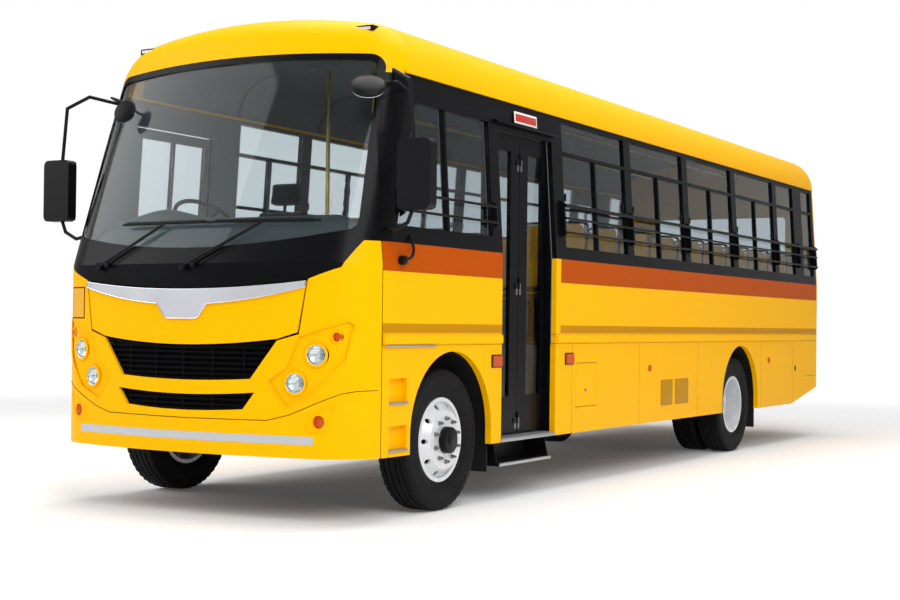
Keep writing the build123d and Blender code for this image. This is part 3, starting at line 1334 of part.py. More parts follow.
def floor_deck():
    """The cabin floor, open over the engine and at the steps."""
    deck = envelope(WALL + SEAT) & slab(FLOOR_Z - FLOOR_THICKNESS, FLOOR_Z)
    deck -= block((-HALF, HALF), (FRONT_Y - 100.0, DECK_FRONT_Y), (0.0, ROOF_Z))
    deck -= block(ENGINE_HOLE[0], ENGINE_HOLE[1], (FLOOR_Z - 100.0, FLOOR_Z + 100.0))
    well_y = (DOOR_FRONT_Y - POST_W, DOOR_REAR_Y + POST_W)
    deck -= block((TREAD_XS[-1], HALF), well_y, (FLOOR_Z - 100.0, FLOOR_Z + 100.0))
    return deck


def wheel_housing(side, axle_y):
    """The arched liner over one wheel, its inner wall, and a mud flap behind."""
    outer = HALF - WALL - SEAT
    width = outer - LINER_INNER_X
    plane = Plane(origin=(LINER_INNER_X, axle_y, TYRE_R), x_dir=(0, 1, 0), z_dir=(1, 0, 0))
    ring = Circle(LINER_R + LINER_THICKNESS) - Circle(LINER_R)
    cover = extrude(plane * ring, width) & block((0, HALF), (axle_y - 700.0, axle_y + 700.0), (TYRE_R - 40.0, 1200.0))
    wall = extrude(plane.offset(-LINER_THICKNESS) * Circle(LINER_R + LINER_THICKNESS), LINER_THICKNESS)
    wall &= block((0, HALF), (axle_y - 700.0, axle_y + 700.0), (570.0, 1200.0))
    flap = block((LINER_INNER_X + 20.0, outer - 10.0), (axle_y + LINER_R - 2.0, axle_y + LINER_R + LINER_THICKNESS),
                 (210.0, TYRE_R))
    shape = cover + wall + flap
    for y0, y1, z0, z1 in FOOT_POCKETS:
        shape -= block((HALF - 60.0, HALF), (y0 - 10.0, y1 + 10.0), (z0 - 10.0, z1 + 10.0))
    return shape if side > 0 else mirrored(shape)


def wheel_housings():
    return group([wheel_housing(side, y) for side in (1, -1) for y in (FRONT_AXLE_Y, REAR_AXLE_Y)])


def underfloor_tanks():
    """Fuel tank on the kerb side; silencer, battery box and air tanks on the other."""
    x = RAIL_OUTER_X + SEAT
    tank = fillet(Rectangle(560.0, 400.0).vertices(), 60.0)
    fuel = extrude(Plane(origin=(x + 280.0, -900.0, 640.0), x_dir=(1, 0, 0), z_dir=(0, -1, 0)) * tank, 950.0)
    silencer = rod((-x - 150.0, -2700.0, 640.0), (-x - 150.0, -1650.0, 640.0), 150.0)
    silencer += rod((-x - 150.0, -1650.0, 640.0), (-x - 150.0, -1450.0, 640.0), 40.0)
    battery = block((-x - 420.0, -x), (-1150.0, -550.0), (480.0, 830.0))
    air = rod((-x - 110.0, -350.0, 700.0), (-x - 110.0, 450.0, 700.0), 110.0)
    return group([fuel, silencer, battery, air])


# ---- inside -----------------------------------------------------------------------------------------
DASH_REAR_Y = FRONT_Y + 520.0
DASH_TOP_Z = 1640.0
WHEEL_TILT = 35.0
STEERING_CENTRE = (-650.0, FRONT_AXLE_Y - 238.0, 1945.0)
STEERING_R = 230.0
COLUMN_R = 30.0
COLUMN_LENGTH = 830.0
COLUMN_GAP = 70.0           # from the steering wheel's middle down to the fixed column


def on_column(distance):
    """A point down the steering column from the wheel's middle."""
    tilt = radians(WHEEL_TILT)
    x, y, z = STEERING_CENTRE
    return x, y - distance * sin(tilt), z - distance * cos(tilt)


def dashboard():
    """A full-width dash under the windscreen, a binnacle ahead of the driver, and the column."""
    front = FLAP_AXIS_Y + NECK_R + 26.0
    profile = [(front, FLOOR_Z), (DASH_REAR_Y, FLOOR_Z), (DASH_REAR_Y + 60.0, 1480.0), (DASH_REAR_Y, DASH_TOP_Z - 20.0),
               (DASH_REAR_Y - 60.0, DASH_TOP_Z), (front, DASH_TOP_Z - 30.0)]
    dash = prism_x(profile, -HALF, HALF)
    binnacle = prism_x([(DASH_REAR_Y - 120.0, DASH_TOP_Z - 40.0), (DASH_REAR_Y - 10.0, DASH_TOP_Z - 40.0),
                        (DASH_REAR_Y - 20.0, DASH_TOP_Z + 90.0), (DASH_REAR_Y - 60.0, DASH_TOP_Z + 110.0)],
                       -880.0, -420.0)
    shelf = prism_x([(FRONT_Y, DASH_TOP_Z - 10.0), (front + 20.0, DASH_TOP_Z - 48.0), (front + 20.0, DASH_TOP_Z - 30.0),
                     (FRONT_Y, DASH_TOP_Z + 8.0)], -HALF, HALF)
    dash = (dash + binnacle + shelf) & envelope(WALL + SEAT)
    column = rod(on_column(COLUMN_GAP), on_column(COLUMN_LENGTH), COLUMN_R)
    return dash + column


def steering_wheel():
    """A rim on three flat spokes, a hub and the shaft's top."""
    tilt = radians(WHEEL_TILT)
    plane = Plane(origin=STEERING_CENTRE, x_dir=(1, 0, 0), z_dir=(0, sin(tilt), cos(tilt)))
    shape = rod((0, 0, 16.0), (0, 0, SEAT - COLUMN_GAP), 34.0)
    for angle in (90.0, 210.0, 330.0):
        shape += Rot(0, 0, angle) * block((0.0, STEERING_R - 8.0), (-13.0, 13.0), (-6.0, 4.0))
    return plane.location * (shape + Torus(STEERING_R, 15.0))


def engine_cover():
    """A sloped hollow box over the engine beside the driver."""
    y0, y1 = ENGINE_HOLE[1]
    y0 = max(y0 - 15.0, DASH_REAR_Y + 60.0 + SEAT)
    y1 += 60.0
    outer = [(-400.0, FLOOR_Z), (400.0, FLOOR_Z), (345.0, 1540.0), (-345.0, 1540.0)]
    inner = [(-385.0, FLOOR_Z - 10.0), (385.0, FLOOR_Z - 10.0), (330.0, 1525.0), (-330.0, 1525.0)]
    return prism_y(outer, y0, y1) - prism_y(inner, y0 - 10.0, y1 - 15.0)


SEAT_PITCH = BAY_PITCH / 2
SEAT_TOP = 430.0
SEAT_DEPTH = 400.0
BACK_H = 560.0
SEAT_W = 370.0
SEAT_IN_X = 400.0
SEAT_LEAN = 0.2
LEFT_ROWS = tuple(FIRST_BAY_Y + 150.0 + i * SEAT_PITCH for i in range(10))
RIGHT_ROWS = tuple(FIRST_BAY_Y - 800.0 + i * SEAT_PITCH for i in range(9)) + (LEFT_ROWS[-1],)


def seat_places():
    """Each bench: its side and the front edge of its cushion."""
    return [(1, y) for y in LEFT_ROWS] + [(-1, y) for y in RIGHT_ROWS]


def seat_shell(x, y):
    """A moulded seat: a pan and a leaning, tapered back in one piece."""
    z = FLOOR_Z + SEAT_TOP - 40.0
    half = SEAT_W / 2 - 6.0
    back_y = y + SEAT_DEPTH
    profile = [(y, z - 14.0), (y, z), (back_y - 20.0, z), (back_y + BACK_H * SEAT_LEAN, z + BACK_H),
               (back_y + BACK_H * SEAT_LEAN + 22.0, z + BACK_H), (back_y + 8.0, z - 14.0)]
    shape = prism_x(profile, x - half, x + half)
    taper = [(x - half, z - 20.0), (x + half, z - 20.0), (x + half, z + 240.0), (x + half - 70.0, z + BACK_H - 20.0),
             (x + half - 100.0, z + BACK_H + 10.0), (x - half + 100.0, z + BACK_H + 10.0),
             (x - half + 70.0, z + BACK_H - 20.0), (x - half, z + 240.0)]
    return shape & prism_y(taper, y - 10.0, back_y + 250.0)


def seat_shells():
    shells = []
    for side, y in seat_places():
        for i in range(2):
            x = side * (SEAT_IN_X + SEAT_W * (i + 0.5))
            shells.append(seat_shell(x, y))
    return group(shells)


def seat_cushions():
    """A flat pad on each seat pan."""
    pads = []
    z = FLOOR_Z + SEAT_TOP - 40.0
    for side, y in seat_places():
        for i in range(2):
            x = side * (SEAT_IN_X + SEAT_W * (i + 0.5))
            half = SEAT_W / 2 - 16.0
            pads.append(block((x - half, x + half), (y + 8.0, y + SEAT_DEPTH - 40.0), (z + SEAT, z + 40.0)))
    return group(pads)


def seat_frames():
    """A rail under each pair of seats, held by the wall and one leg by the aisle."""
    frames = []
    top = FLOOR_Z + SEAT_TOP - 54.0 - SEAT
    wall = HALF - WALL - SEAT
    for side, y in seat_places():
        frame = block((SEAT_IN_X + 20.0, wall), (y + 150.0, y + 190.0), (top - 30.0, top))
        leg_x = SEAT_IN_X + 60.0
        frame += block((leg_x, leg_x + 30.0), (y + 155.0, y + 185.0), (FLOOR_Z, top))
        frame += block((leg_x - 10.0, leg_x + 40.0), (y + 60.0, y + 320.0), (FLOOR_Z, FLOOR_Z + 8.0))
        frames.append(frame if side > 0 else mirrored(frame))
    return group(frames)


DRIVER_SEAT = (-650.0, FRONT_AXLE_Y + 130.0)


def driver_seat():
    """A padded seat with a headrest on a pedestal."""
    x, y = DRIVER_SEAT
    z = FLOOR_Z + 420.0
    seat = block((x - 245.0, x + 245.0), (y, y + 480.0), (z - 90.0, z))
    back = prism_x([(y + 390.0, z - 40.0), (y + 490.0, z - 60.0), (y + 620.0, z + 560.0), (y + 520.0, z + 580.0)],
                   x - 235.0, x + 235.0)
    head = prism_x([(y + 535.0, z + 600.0), (y + 625.0, z + 590.0), (y + 655.0, z + 770.0), (y + 565.0, z + 780.0)],
                   x - 130.0, x + 130.0)
    stem = rod((x, y + 575.0, z + 560.0), (x, y + 585.0, z + 620.0), 12.0)
    base = block((x - 150.0, x + 150.0), (y + 90.0, y + 390.0), (FLOOR_Z, z - 80.0))
    return seat + back + head + stem + base


POLE_R = 16.0
HANDRAIL_Z = 2960.0
POLES = ((640.0, DOOR_REAR_Y + 130.0), (-380.0, DRIVER_SEAT[1] + 760.0), (250.0, FRONT_AXLE_Y + 560.0))


def grab_rails():
    """Upright poles and ceiling rails."""
    rails = []
    inside = envelope(WALL + SEAT)
    for x, y in POLES:
        rails.append(rod((x, y, FLOOR_Z), (x, y, ROOF_Z), POLE_R) & inside)
    for side in (1, -1):
        x = side * 420.0
        ends = (FIRST_BAY_Y, REAR_SEAM_Y - 400.0)
        rail = rod((x, ends[0], HANDRAIL_Z), (x, ends[1], HANDRAIL_Z), POLE_R)
        drops = 4
        for i in range(drops):
            y = ends[0] + POLE_R + (ends[1] - ends[0] - 2 * POLE_R) * i / (drops - 1)
            rail += rod((x, y, HANDRAIL_Z), (x, y, ROOF_Z), POLE_R * 0.8)
        rails.append(rail & inside)
    return group(rails)


# ---- mirrors and wipers -----------------------------------------------------------------------------
MIRROR_CENTRE = (1472.0, FRONT_AXLE_Y - 840.0, 2140.0)
MIRROR_SIZE = (235.0, 80.0, 430.0)
ARM_R = 12.0


def mirror_assembly():
    """The kerb-side mirror: a head on a bent arm from the front pillar, and a round mirror above."""
    x, y, z = MIRROR_CENTRE
    width, depth, height = MIRROR_SIZE
    outline = fillet(Rectangle(width, height).vertices(), 40.0)
    head = extrude(Plane(origin=(x, y + depth / 2, z), x_dir=(1, 0, 0), z_dir=(0, -1, 0)) * outline, depth)
    top = (1130.0, FRONT_AXLE_Y - 560.0, 2760.0)
    low = (1205.0, FRONT_AXLE_Y - 800.0, 1830.0)
    arm = rod_path([top, (1260.0, y + 60.0, 2800.0), (x - 60.0, y, 2720.0), (x - 20.0, y, z + height / 2 - 20.0)], ARM_R)
    arm += rod_path([low, (1310.0, y, 1800.0), (x - 60.0, y, 1850.0), (x - 20.0, y, z - height / 2 + 20.0)], ARM_R)
    arm = arm - envelope(0.0)
    return head + arm


def mirrors():
    return group(pair(mirror_assembly()))


WIPER_PIVOTS = ((-743.0, 1585.0), (19.0, 1578.0))
WIPER_SPAN = (150.0, 920.0)          # a blade's two ends, measured sideways from its pivot
WIPER_BLADE_Z = 1860.0
WIPER_OFF = 30.0


def off_glass(x, z, distance):
    """A point ahead of the front's surface."""
    return x, front_surface_y(x, z) - distance, z


def wipers():
    """Two pivots, each with an arm to a long blade lying low on the glass."""
    sets = []
    for x, z in WIPER_PIVOTS:
        joint = off_glass(x, z, WIPER_OFF)
        shape = rod(off_glass(x, z, 0.0), off_glass(x, z, WIPER_OFF + 10.0), 24.0)
        ends = [off_glass(x + reach, WIPER_BLADE_Z, WIPER_OFF) for reach in WIPER_SPAN]
        middle = off_glass(x + sum(WIPER_SPAN) / 2, WIPER_BLADE_Z, WIPER_OFF)
        shape += rod_path([joint, middle], 9.0)
        shape += rod_path([ends[0], middle, ends[1]], 8.0)
        sets.append(shape - envelope(0.0))
    return group(sets)


# ---- the nodes --------------------------------------------------------------------------------------
def nodes():
    """Each piece's name, with the function that makes it."""
    table = {
        "lower_side_left": lambda: lower_side(1),
        "lower_side_right": lambda: lower_side(-1),
        "window_frame_left": lambda: window_frame(1),
        "window_frame_right": lambda: window_frame(-1),
        "window_glass": lambda: group([side_glass(1), side_glass(-1), rear_glass()]),
        "roof": roof,
        "windscreen_surround": windscreen_surround,
        "windscreen_glass": windscreen_glass,
        "front_panel": front_panel,
        "front_bumper": front_bumper,
        "grilles": grilles,
        "headlamps": headlamps,
        "amber_lamps": amber_lamps,
        "tail_lamps": tail_lamps,
        "front_flap": front_flap,
        "chrome_strip": chrome_strip,
        "fixed_hinges": lambda: group([flap_hinges(), side_door_hinges()]),
        "side_mouldings": side_mouldings,
        "window_guards": lambda: group([window_guards(1), window_guards(-1)]),
        "fuel_flap": fuel_flap,
        "driver_door": lambda: side_door(*DRIVER_DOOR),
        "driver_door_glass": lambda: side_door_glass(*DRIVER_DOOR),
        "emergency_door": lambda: side_door(*EMERGENCY_DOOR),
        "emergency_door_glass": lambda: side_door_glass(*EMERGENCY_DOOR),
        "entrance_leaf_front": lambda: door_leaf(0),
        "entrance_leaf_rear": lambda: door_leaf(1),
        "entrance_glass_front": lambda: door_leaf_glass(0),
        "entrance_glass_rear": lambda: door_leaf_glass(1),
        "entrance_frame": door_frame,
        "entrance_steps": lambda: step_well() + entry_step(),
        "rear_wall": rear_wall,
        "rear_bumper": rear_bumper,
        "mirrors": mirrors,
        "wipers": wipers,
        "chassis_frame": chassis_frame,
        "leaf_springs": leaf_springs,
        "front_axle": front_axle,
        "rear_axle": rear_axle,
        "driveline": driveline,
        "underfloor_tanks": underfloor_tanks,
        "wheel_housings": wheel_housings,
        "floor_deck": floor_deck,
        "dashboard": dashboard,
        "engine_cover": engine_cover,
        "steering_wheel": steering_wheel,
        "driver_seat": driver_seat,
        "seat_shells": seat_shells,
        "seat_cushions": seat_cushions,
        "seat_frames": seat_frames,
        "grab_rails": grab_rails,
    }
    for side, word in ((1, "left"), (-1, "right")):
        table[f"knuckle_{word}"] = lambda side=side: knuckle(side)
        table[f"front_wheel_{word}"] = lambda side=side: front_wheel(side)
        table[f"front_tyre_{word}"] = lambda side=side: front_tyre(side)
        table[f"twin_wheels_{word}"] = lambda side=side: twin_wheels(side)
        table[f"twin_tyres_{word}"] = lambda side=side: twin_tyres(side)
    return table


def main():
    os.makedirs("parts", exist_ok=True)
    for name, make in nodes().items():
        export_step(make(), f"parts/{name}.step")


if __name__ == "__main__":
    main()
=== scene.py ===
import logging
import math
from collections.abc import Callable, Iterator
from contextlib import contextmanager
from dataclasses import dataclass, replace
from enum import Enum

import bpy
from mathutils import Matrix, Vector

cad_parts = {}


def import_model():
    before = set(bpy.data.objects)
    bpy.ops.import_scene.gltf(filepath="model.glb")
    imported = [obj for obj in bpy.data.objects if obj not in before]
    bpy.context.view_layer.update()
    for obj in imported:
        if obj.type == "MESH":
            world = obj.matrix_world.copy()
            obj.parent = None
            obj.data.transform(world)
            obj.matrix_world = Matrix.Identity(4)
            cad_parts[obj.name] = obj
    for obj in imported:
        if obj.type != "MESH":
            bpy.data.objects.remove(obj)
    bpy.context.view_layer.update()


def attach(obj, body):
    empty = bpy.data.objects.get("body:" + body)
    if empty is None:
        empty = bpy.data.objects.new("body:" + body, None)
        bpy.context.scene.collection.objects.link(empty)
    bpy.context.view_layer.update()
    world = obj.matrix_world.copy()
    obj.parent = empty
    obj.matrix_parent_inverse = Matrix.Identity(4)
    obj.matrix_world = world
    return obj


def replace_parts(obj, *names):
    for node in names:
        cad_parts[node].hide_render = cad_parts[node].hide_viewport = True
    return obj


LOG = logging.getLogger("bus")

Pair = tuple[float, float]
Point = tuple[float, float, float]
Thing = bpy.types.Object
Socket = bpy.types.NodeSocket
Tree = bpy.types.NodeTree

FRONT_AXLE_Y = -3.75
REAR_AXLE_Y = 2.05
AXLE_Z = 0.47
WHEEL_X = 1.075
HALF_WIDTH = 1.25
FRONT_Y = -5.0
REAR_Y = 4.91
FRONT_BOW_R = 4.2
FRONT_CORNER_R = 0.38
FRONT_RAKE = math.radians(19.4)
RAKE_Z = 1.6
WAIST_Z = 1.74
FLOOR_Z = 1.11
PAN_Z = FLOOR_Z + 0.39   # the top of a seat's pan
TUMBLEHOME = 0.0639      # how far the side leans in for each metre above the waist
EAVES_HALF = 1.18
COVE_R = 0.35
CROWN_R = 5.8
ROOF_Z = 3.25
TYRE_R = 0.47
TYRE_W = 0.23
TWIN_PITCH = 0.27
DOOR_Y = (FRONT_AXLE_Y + 0.705, FRONT_AXLE_Y + 1.57)
LEAF_FACE_X = 1.15
SEAT_W = 0.37
SEAT_IN_X = 0.40
SEAT_PITCH = 0.6665
FIRST_BAY_Y = FRONT_AXLE_Y + 1.75
LEFT_ROWS = tuple(FIRST_BAY_Y + 0.15 + i * SEAT_PITCH for i in range(10))
RIGHT_ROWS = tuple(FIRST_BAY_Y - 0.80 + i * SEAT_PITCH for i in range(9)) + (LEFT_ROWS[-1],)
DRIVER_SEAT = (-0.65, FRONT_AXLE_Y + 0.13)
MIRROR_CENTRE = (1.472, FRONT_AXLE_Y - 0.84, 2.14)

UPRIGHT = (0.0, 0.0, 0.0)            # leaves a piece built along Z as it is
ACROSS = (0.0, math.pi / 2, 0.0)     # lays it across the bus
ALONG = (math.pi / 2, 0.0, 0.0)      # lays it along the bus
SIGN_LEAN = (0.0, -0.064, 0.0)       # lays a flat piece against the side above the waist
ENDLESS = (-9.0, 9.0)                # the limits of a patch that runs the bus's whole length
SOFT_EDGE = 60.0                     # shades round pieces smoothly over steeper edges, in degrees


class Side(Enum):
    """A side of the bus, by the sign of its X."""

    LEFT = 1
    RIGHT = -1


# ---- colour and node helpers ------------------------------------------------------------------------
def linear(code: str) -> tuple[float, float, float, float]:
    """Turns an sRGB hex colour into the linear values a shader takes.

    Args:
        code: Six hex digits after a hash.

    Returns:
        Red, green, blue and an alpha of one.
    """
    channels = [int(code[i:i + 2], 16) / 255 for i in (1, 3, 5)]
    red, green, blue = [c / 12.92 if c <= 0.04045 else ((c + 0.055) / 1.055) ** 2.4 for c in channels]
    return red, green, blue, 1.0


WHITE = linear("#ffffff")


def feed(node: bpy.types.Node, inputs: dict[str | int, object]) -> None:
    """Sets or links a node's inputs.

    Args:
        node: The node.
        inputs: Values or output sockets by input name or number.
    """
    for name, value in inputs.items():
        if isinstance(value, Socket):
            node.id_data.links.new(value, node.inputs[name])
        else:
            node.inputs[name].default_value = value


def add_node(
    tree: Tree,
    kind: str,
    inputs: dict[str | int, object] | None = None,
    **settings: object,
) -> bpy.types.Node:
    """Adds one node with its settings, and sets or links its inputs.

    Args:
        tree: The material's node tree.
        kind: The node's type name, without its "ShaderNode".
        inputs: Values or output sockets by input name or number.
        settings: Attribute values.

    Returns:
        The new node.
    """
    node = tree.nodes.new("ShaderNode" + kind)
    for name, value in settings.items():
        setattr(node, name, value)
    feed(node, inputs or {})
    return node


def reckon(tree: Tree, operation: str, *values: object) -> Socket:
    """Adds a maths node over numbers or sockets, and returns its result."""
    return add_node(tree, "Math", dict(enumerate(values)), operation=operation).outputs[0]


def within(tree: Tree, value: Socket, limits: Pair) -> Socket:
    """Gives one where a value lies between two limits, and zero elsewhere."""
    above = reckon(tree, "GREATER_THAN", value, limits[0])
    return reckon(tree, "MULTIPLY", above, reckon(tree, "LESS_THAN", value, limits[1]))


def overlay(
    tree: Tree, mask: Socket, below: Socket, code: str,
) -> Socket:
    """Lays a hex colour over another colour where a mask is one."""
    return add_node(tree, "Mix", {0: mask, 6: below, 7: linear(code)}, data_type="RGBA").outputs[2]


@dataclass(frozen=True)
class Patch:
    """A box of the bus in which a paint has another colour: limits along Y and Z, in metres."""

    y: Pair
    z: Pair


@dataclass(frozen=True)
class Finish:
    """A plain surface with a fine grain: the base of every finish here.

    Attributes:
        name: The material's name.
        colour: Its sRGB hex colour.
        roughness: How wide its highlight is.
        metallic: One for a bare metal.
        grain_mm: The size of its surface grain.
        grain_depth: How deep that grain looks, in metres.
        mottle: How far its roughness wanders.
        coat: The weight of a clear coat.
        shine: How strongly it reflects head on.
    """

    name: str
    colour: str
    roughness: float = 0.4
    metallic: float = 0.0
    grain_mm: float = 4.0
    grain_depth: float = 0.0002
    mottle: float = 0.05
    coat: float = 0.0
    shine: float = 0.35

    def colour_socket(self, tree: Tree, place: Socket) -> Socket | None:
        """Returns the socket of a patterned colour, or None where the colour is plain."""
        return None

    def extras(self) -> dict[str, float]:
        """Returns what one kind of finish sets on the shader besides the common values."""
        return {}

    def build(self) -> bpy.types.Material:
        """Makes the material.

        Returns:
            The finished material.
        """
        material = bpy.data.materials.new(self.name)
        material.use_nodes = True
        tree = material.node_tree
        shader = tree.nodes["Principled BSDF"]
        place = add_node(tree, "TexCoord").outputs["Object"]
        grain = add_node(tree, "TexNoise", {"Vector": place, "Scale": 1000.0 / self.grain_mm, "Detail": 2.0})
        cloud = add_node(tree, "TexNoise", {"Vector": place, "Scale": 3.0, "Detail": 3.0})
        rough = add_node(tree, "MapRange", {
            "Value": cloud.outputs["Fac"],
            "From Min": 0.3,
            "From Max": 0.7,
            "To Min": max(0.02, self.roughness - self.mottle),
            "To Max": self.roughness + self.mottle,
        })
        bump = add_node(tree, "Bump", {"Height": grain.outputs["Fac"], "Distance": self.grain_depth, "Strength": 0.5})
        feed(shader, {
            "Base Color": linear(self.colour),
            "Metallic": self.metallic,
            "Coat Weight": self.coat,
            "Coat Roughness": 0.06,
            "Specular IOR Level": self.shine,
            "Roughness": rough.outputs["Result"],
            "Normal": bump.outputs["Normal"],
        } | self.extras())
        colour = self.colour_socket(tree, place)
        if colour is not None:
            feed(shader, {"Base Color": colour})
        return material


@dataclass(frozen=True)
class StripedPaint(Finish):
    """Coach enamel with stripes, and the thin dark joints between its sheets.

    Attributes:
        stripes: Pairs of a hex colour and the patch it covers.
        joints: Narrow patches that show as dark lines.
        joint_colour: The colour of those lines.
        lining: The colour of the wall's inner face, or nothing where it has no inner face.
        lining_x: The lining shows inside this distance from the bus's middle, above the floor.
    """

    stripes: tuple[tuple[str, Patch], ...] = ()
    joints: tuple[Patch, ...] = ()
    joint_colour: str = "#5a4000"
    lining: str = ""
    lining_x: float = 1.212

    def colour_socket(self, tree: Tree, place: Socket) -> Socket:
        """Lays each stripe and joint, and the lining, over the base colour."""
        axes = add_node(tree, "SeparateXYZ", {0: place}).outputs
        base = add_node(tree, "RGB")
        base.outputs[0].default_value = linear(self.colour)
        socket = base.outputs[0]
        for code, patch in self.stripes + tuple((self.joint_colour, joint) for joint in self.joints):
            mask = reckon(tree, "MULTIPLY", within(tree, axes["Y"], patch.y), within(tree, axes["Z"], patch.z))
            socket = overlay(tree, mask, socket, code)
        if not self.lining:
            return socket
        lift = reckon(tree, "MAXIMUM", reckon(tree, "SUBTRACT", axes["Z"], WAIST_Z), 0.0)
        wide = reckon(tree, "MULTIPLY_ADD", lift, TUMBLEHOME, reckon(tree, "ABSOLUTE", axes["X"]))
        inside = reckon(tree, "LESS_THAN", wide, self.lining_x)
        high = reckon(tree, "GREATER_THAN", axes["Z"], FLOOR_Z - 0.02)
        return overlay(tree, reckon(tree, "MULTIPLY", inside, high), socket, self.lining)


@dataclass(frozen=True)
class Glass(Finish):
    """Float glass in a tint, clear enough to show the cabin."""

    def extras(self) -> dict[str, float]:
        """Lets light through."""
        return {"Transmission Weight": 1.0, "IOR": 1.2}


@dataclass(frozen=True)
class Lens(Finish):
    """Moulded lamp plastic that lets some light through."""

    def extras(self) -> dict[str, float]:
        """Adds the soft light and the gloss of a coloured lens."""
        return {"Transmission Weight": 0.25, "Coat Weight": 0.8}


@dataclass(frozen=True)
class Weave(Finish):
    """Woven upholstery: threads crossing at right angles."""

    second: str = "#22262b"

    def colour_socket(self, tree: Tree, place: Socket) -> Socket:
        """Checks two thread colours at the thread's spacing."""
        return add_node(tree, "TexChecker", {
            "Vector": place,
            "Color1": linear(self.colour),
            "Color2": linear(self.second),
            "Scale": 1000.0 / self.grain_mm,
        }).outputs["Color"]

    def extras(self) -> dict[str, float]:
        """Adds the fibres' sheen."""
        return {"Sheen Weight": 0.4}


# ---- finishes: name, colour, roughness, metallic, grain, its depth, mottle, coat, shine ---------------
BUS_YELLOW = "#fdba00"
NEAR_BLACK = "#0e0f12"
LINING_GREY = "#6d747a"
SILVER = "#c4c7ca"
SEAM_W = 0.004
SHEET_JOINTS = (1.86, 3.20, 4.60, 6.45, 7.55)   # behind the front axle
SKIRT_JOINTS = (
    Patch((FRONT_AXLE_Y - 0.850, FRONT_AXLE_Y - 0.843), (0.3, WAIST_Z)),
    *(Patch((FRONT_AXLE_Y + y, FRONT_AXLE_Y + y + SEAM_W), (0.3, 1.10)) for y in SHEET_JOINTS),
    Patch(ENDLESS, (1.098, 1.102)),
    Patch(ENDLESS, (1.168, 1.172)),
    Patch((FRONT_AXLE_Y + 1.93, FRONT_AXLE_Y + 2.32), (0.946, 0.950)),
    Patch((REAR_Y - 0.64, REAR_Y - 0.20), (0.70, 0.704)),
)
SIDE_STRIPES = (
    ("#b84e00", Patch((-4.60, 4.76), (1.56, WAIST_Z + 0.01))),
    ("#c28600", Patch((-4.60, 4.69), (1.178, 1.237))),
)
BARE_UPRIGHT = (BUS_YELLOW, Patch((FRONT_AXLE_Y + 1.555, FRONT_AXLE_Y + 1.65), (1.10, WAIST_Z + 0.01)))
DOOR_TOP = (NEAR_BLACK, Patch(ENDLESS, (WAIST_Z, 9.0)))
BUMPER_STRIPE = (SILVER, Patch((REAR_Y + 0.084, REAR_Y + 0.2), (0.71, 0.76)))
BRACKETS = (NEAR_BLACK, Patch(ENDLESS, (0.0, 0.432)))

# Two-pack enamel on steel sheet: an even colour with a faint orange peel.
BODY_ENAMEL = Finish("body_enamel", BUS_YELLOW, 0.36, 0.0, 9.0, 0.00025, 0.03, 0.01, 0.04)
SIDE_ENAMEL = StripedPaint(
    "side_enamel", BUS_YELLOW, 0.36, 0.0, 9.0, 0.00025, 0.03, 0.01, 0.04,
    stripes=SIDE_STRIPES, joints=SKIRT_JOINTS, lining=LINING_GREY,
)
# The same enamel, with a bare upright of body colour behind the entrance.
KERB_ENAMEL = replace(SIDE_ENAMEL, name="kerb_enamel", stripes=SIDE_STRIPES + (BARE_UPRIGHT,))
# The same enamel on the doors, black above the waist.
DOOR_ENAMEL = replace(
    SIDE_ENAMEL, name="door_enamel", stripes=SIDE_STRIPES + (DOOR_TOP,), joints=(), lining_x=1.2235,
)
# The same enamel with a stripe of reflective sheeting on the bumper's face.
REAR_BUMPER_ENAMEL = replace(
    SIDE_ENAMEL, name="rear_bumper_enamel", stripes=(BUMPER_STRIPE,), joints=(), lining="",
)
# Black enamel on the window frames, the leaves and the windscreen's surround; grey vinyl inside the frames.
BLACK_ENAMEL = Finish("black_enamel", "#0a0b0e", 0.32, 0.0, 9.0, 0.0002, 0.04, 0.03, 0.08)
WINDOW_ENAMEL = StripedPaint(
    "window_enamel", "#0a0b0e", 0.32, 0.0, 9.0, 0.0002, 0.04, 0.03, 0.08, lining=LINING_GREY,
)
# Chequered aluminium steps on black-painted brackets.
STEP_PLATE = StripedPaint("step_plate", "#8f9295", 0.4, 0.3, 14.0, 0.0008, 0.08, stripes=(BRACKETS,))
# Vinyl-faced board on the ceiling.
HEADLINING = Finish("headlining", "#70777d", 0.6, 0.0, 3.0, 0.0004, 0.05)
# Brass-plated tube of the passengers' poles.
PILLAR_BRASS = Finish("pole_metal", "#c9b768", 0.28, 0.9, 3.0, 0.0002, 0.06)
# Enamelled steel slats over painted wire mesh, in the vents.
VENT_ENAMEL = Finish("vent_enamel", "#c99300", 0.35, 0.0, 6.0, 0.0002, 0.04, 0.1)
MESH_BROWN = Finish("mesh_brown", "#8a6600", 0.6, 0.0, 3.0, 0.0006, 0.05)
# Dark sealant in the body's joints; the same dark also stands as painted shade along the grooves round the lamp pods.
SEAM_AND_GROOVE_SHADE = Finish("seam_dark", "#5a4000", 0.6, 0.0, 6.0, 0.0001, 0.05, 0.0, 0.1)
# Woven polyester covers, driver's and passengers'.
DRIVER_CLOTH = Weave("driver_cloth", "#2b3138", 0.9, 0.0, 4.0, 0.0008, 0.02)
SEAT_CLOTH = Weave("seat_cloth", "#343a42", 0.9, 0.0, 4.0, 0.0008, 0.02)
# Baked wheel enamel: pale grey, satin, dusty in its hollows.
WHEEL_ENAMEL = Finish("wheel_enamel", "#dadde0", 0.3, 0.25, 6.0, 0.0003, 0.08, 0.2)
# Chassis black: thick, dull and slightly pitted.
CHASSIS_PAINT = Finish("chassis_paint", "#131313", 0.55, 0.0, 5.0, 0.0006, 0.1)
# Bare cast iron, brown with its first rust.
CAST_IRON = Finish("cast_iron", "#2c2a28", 0.62, 0.6, 3.0, 0.001, 0.12)
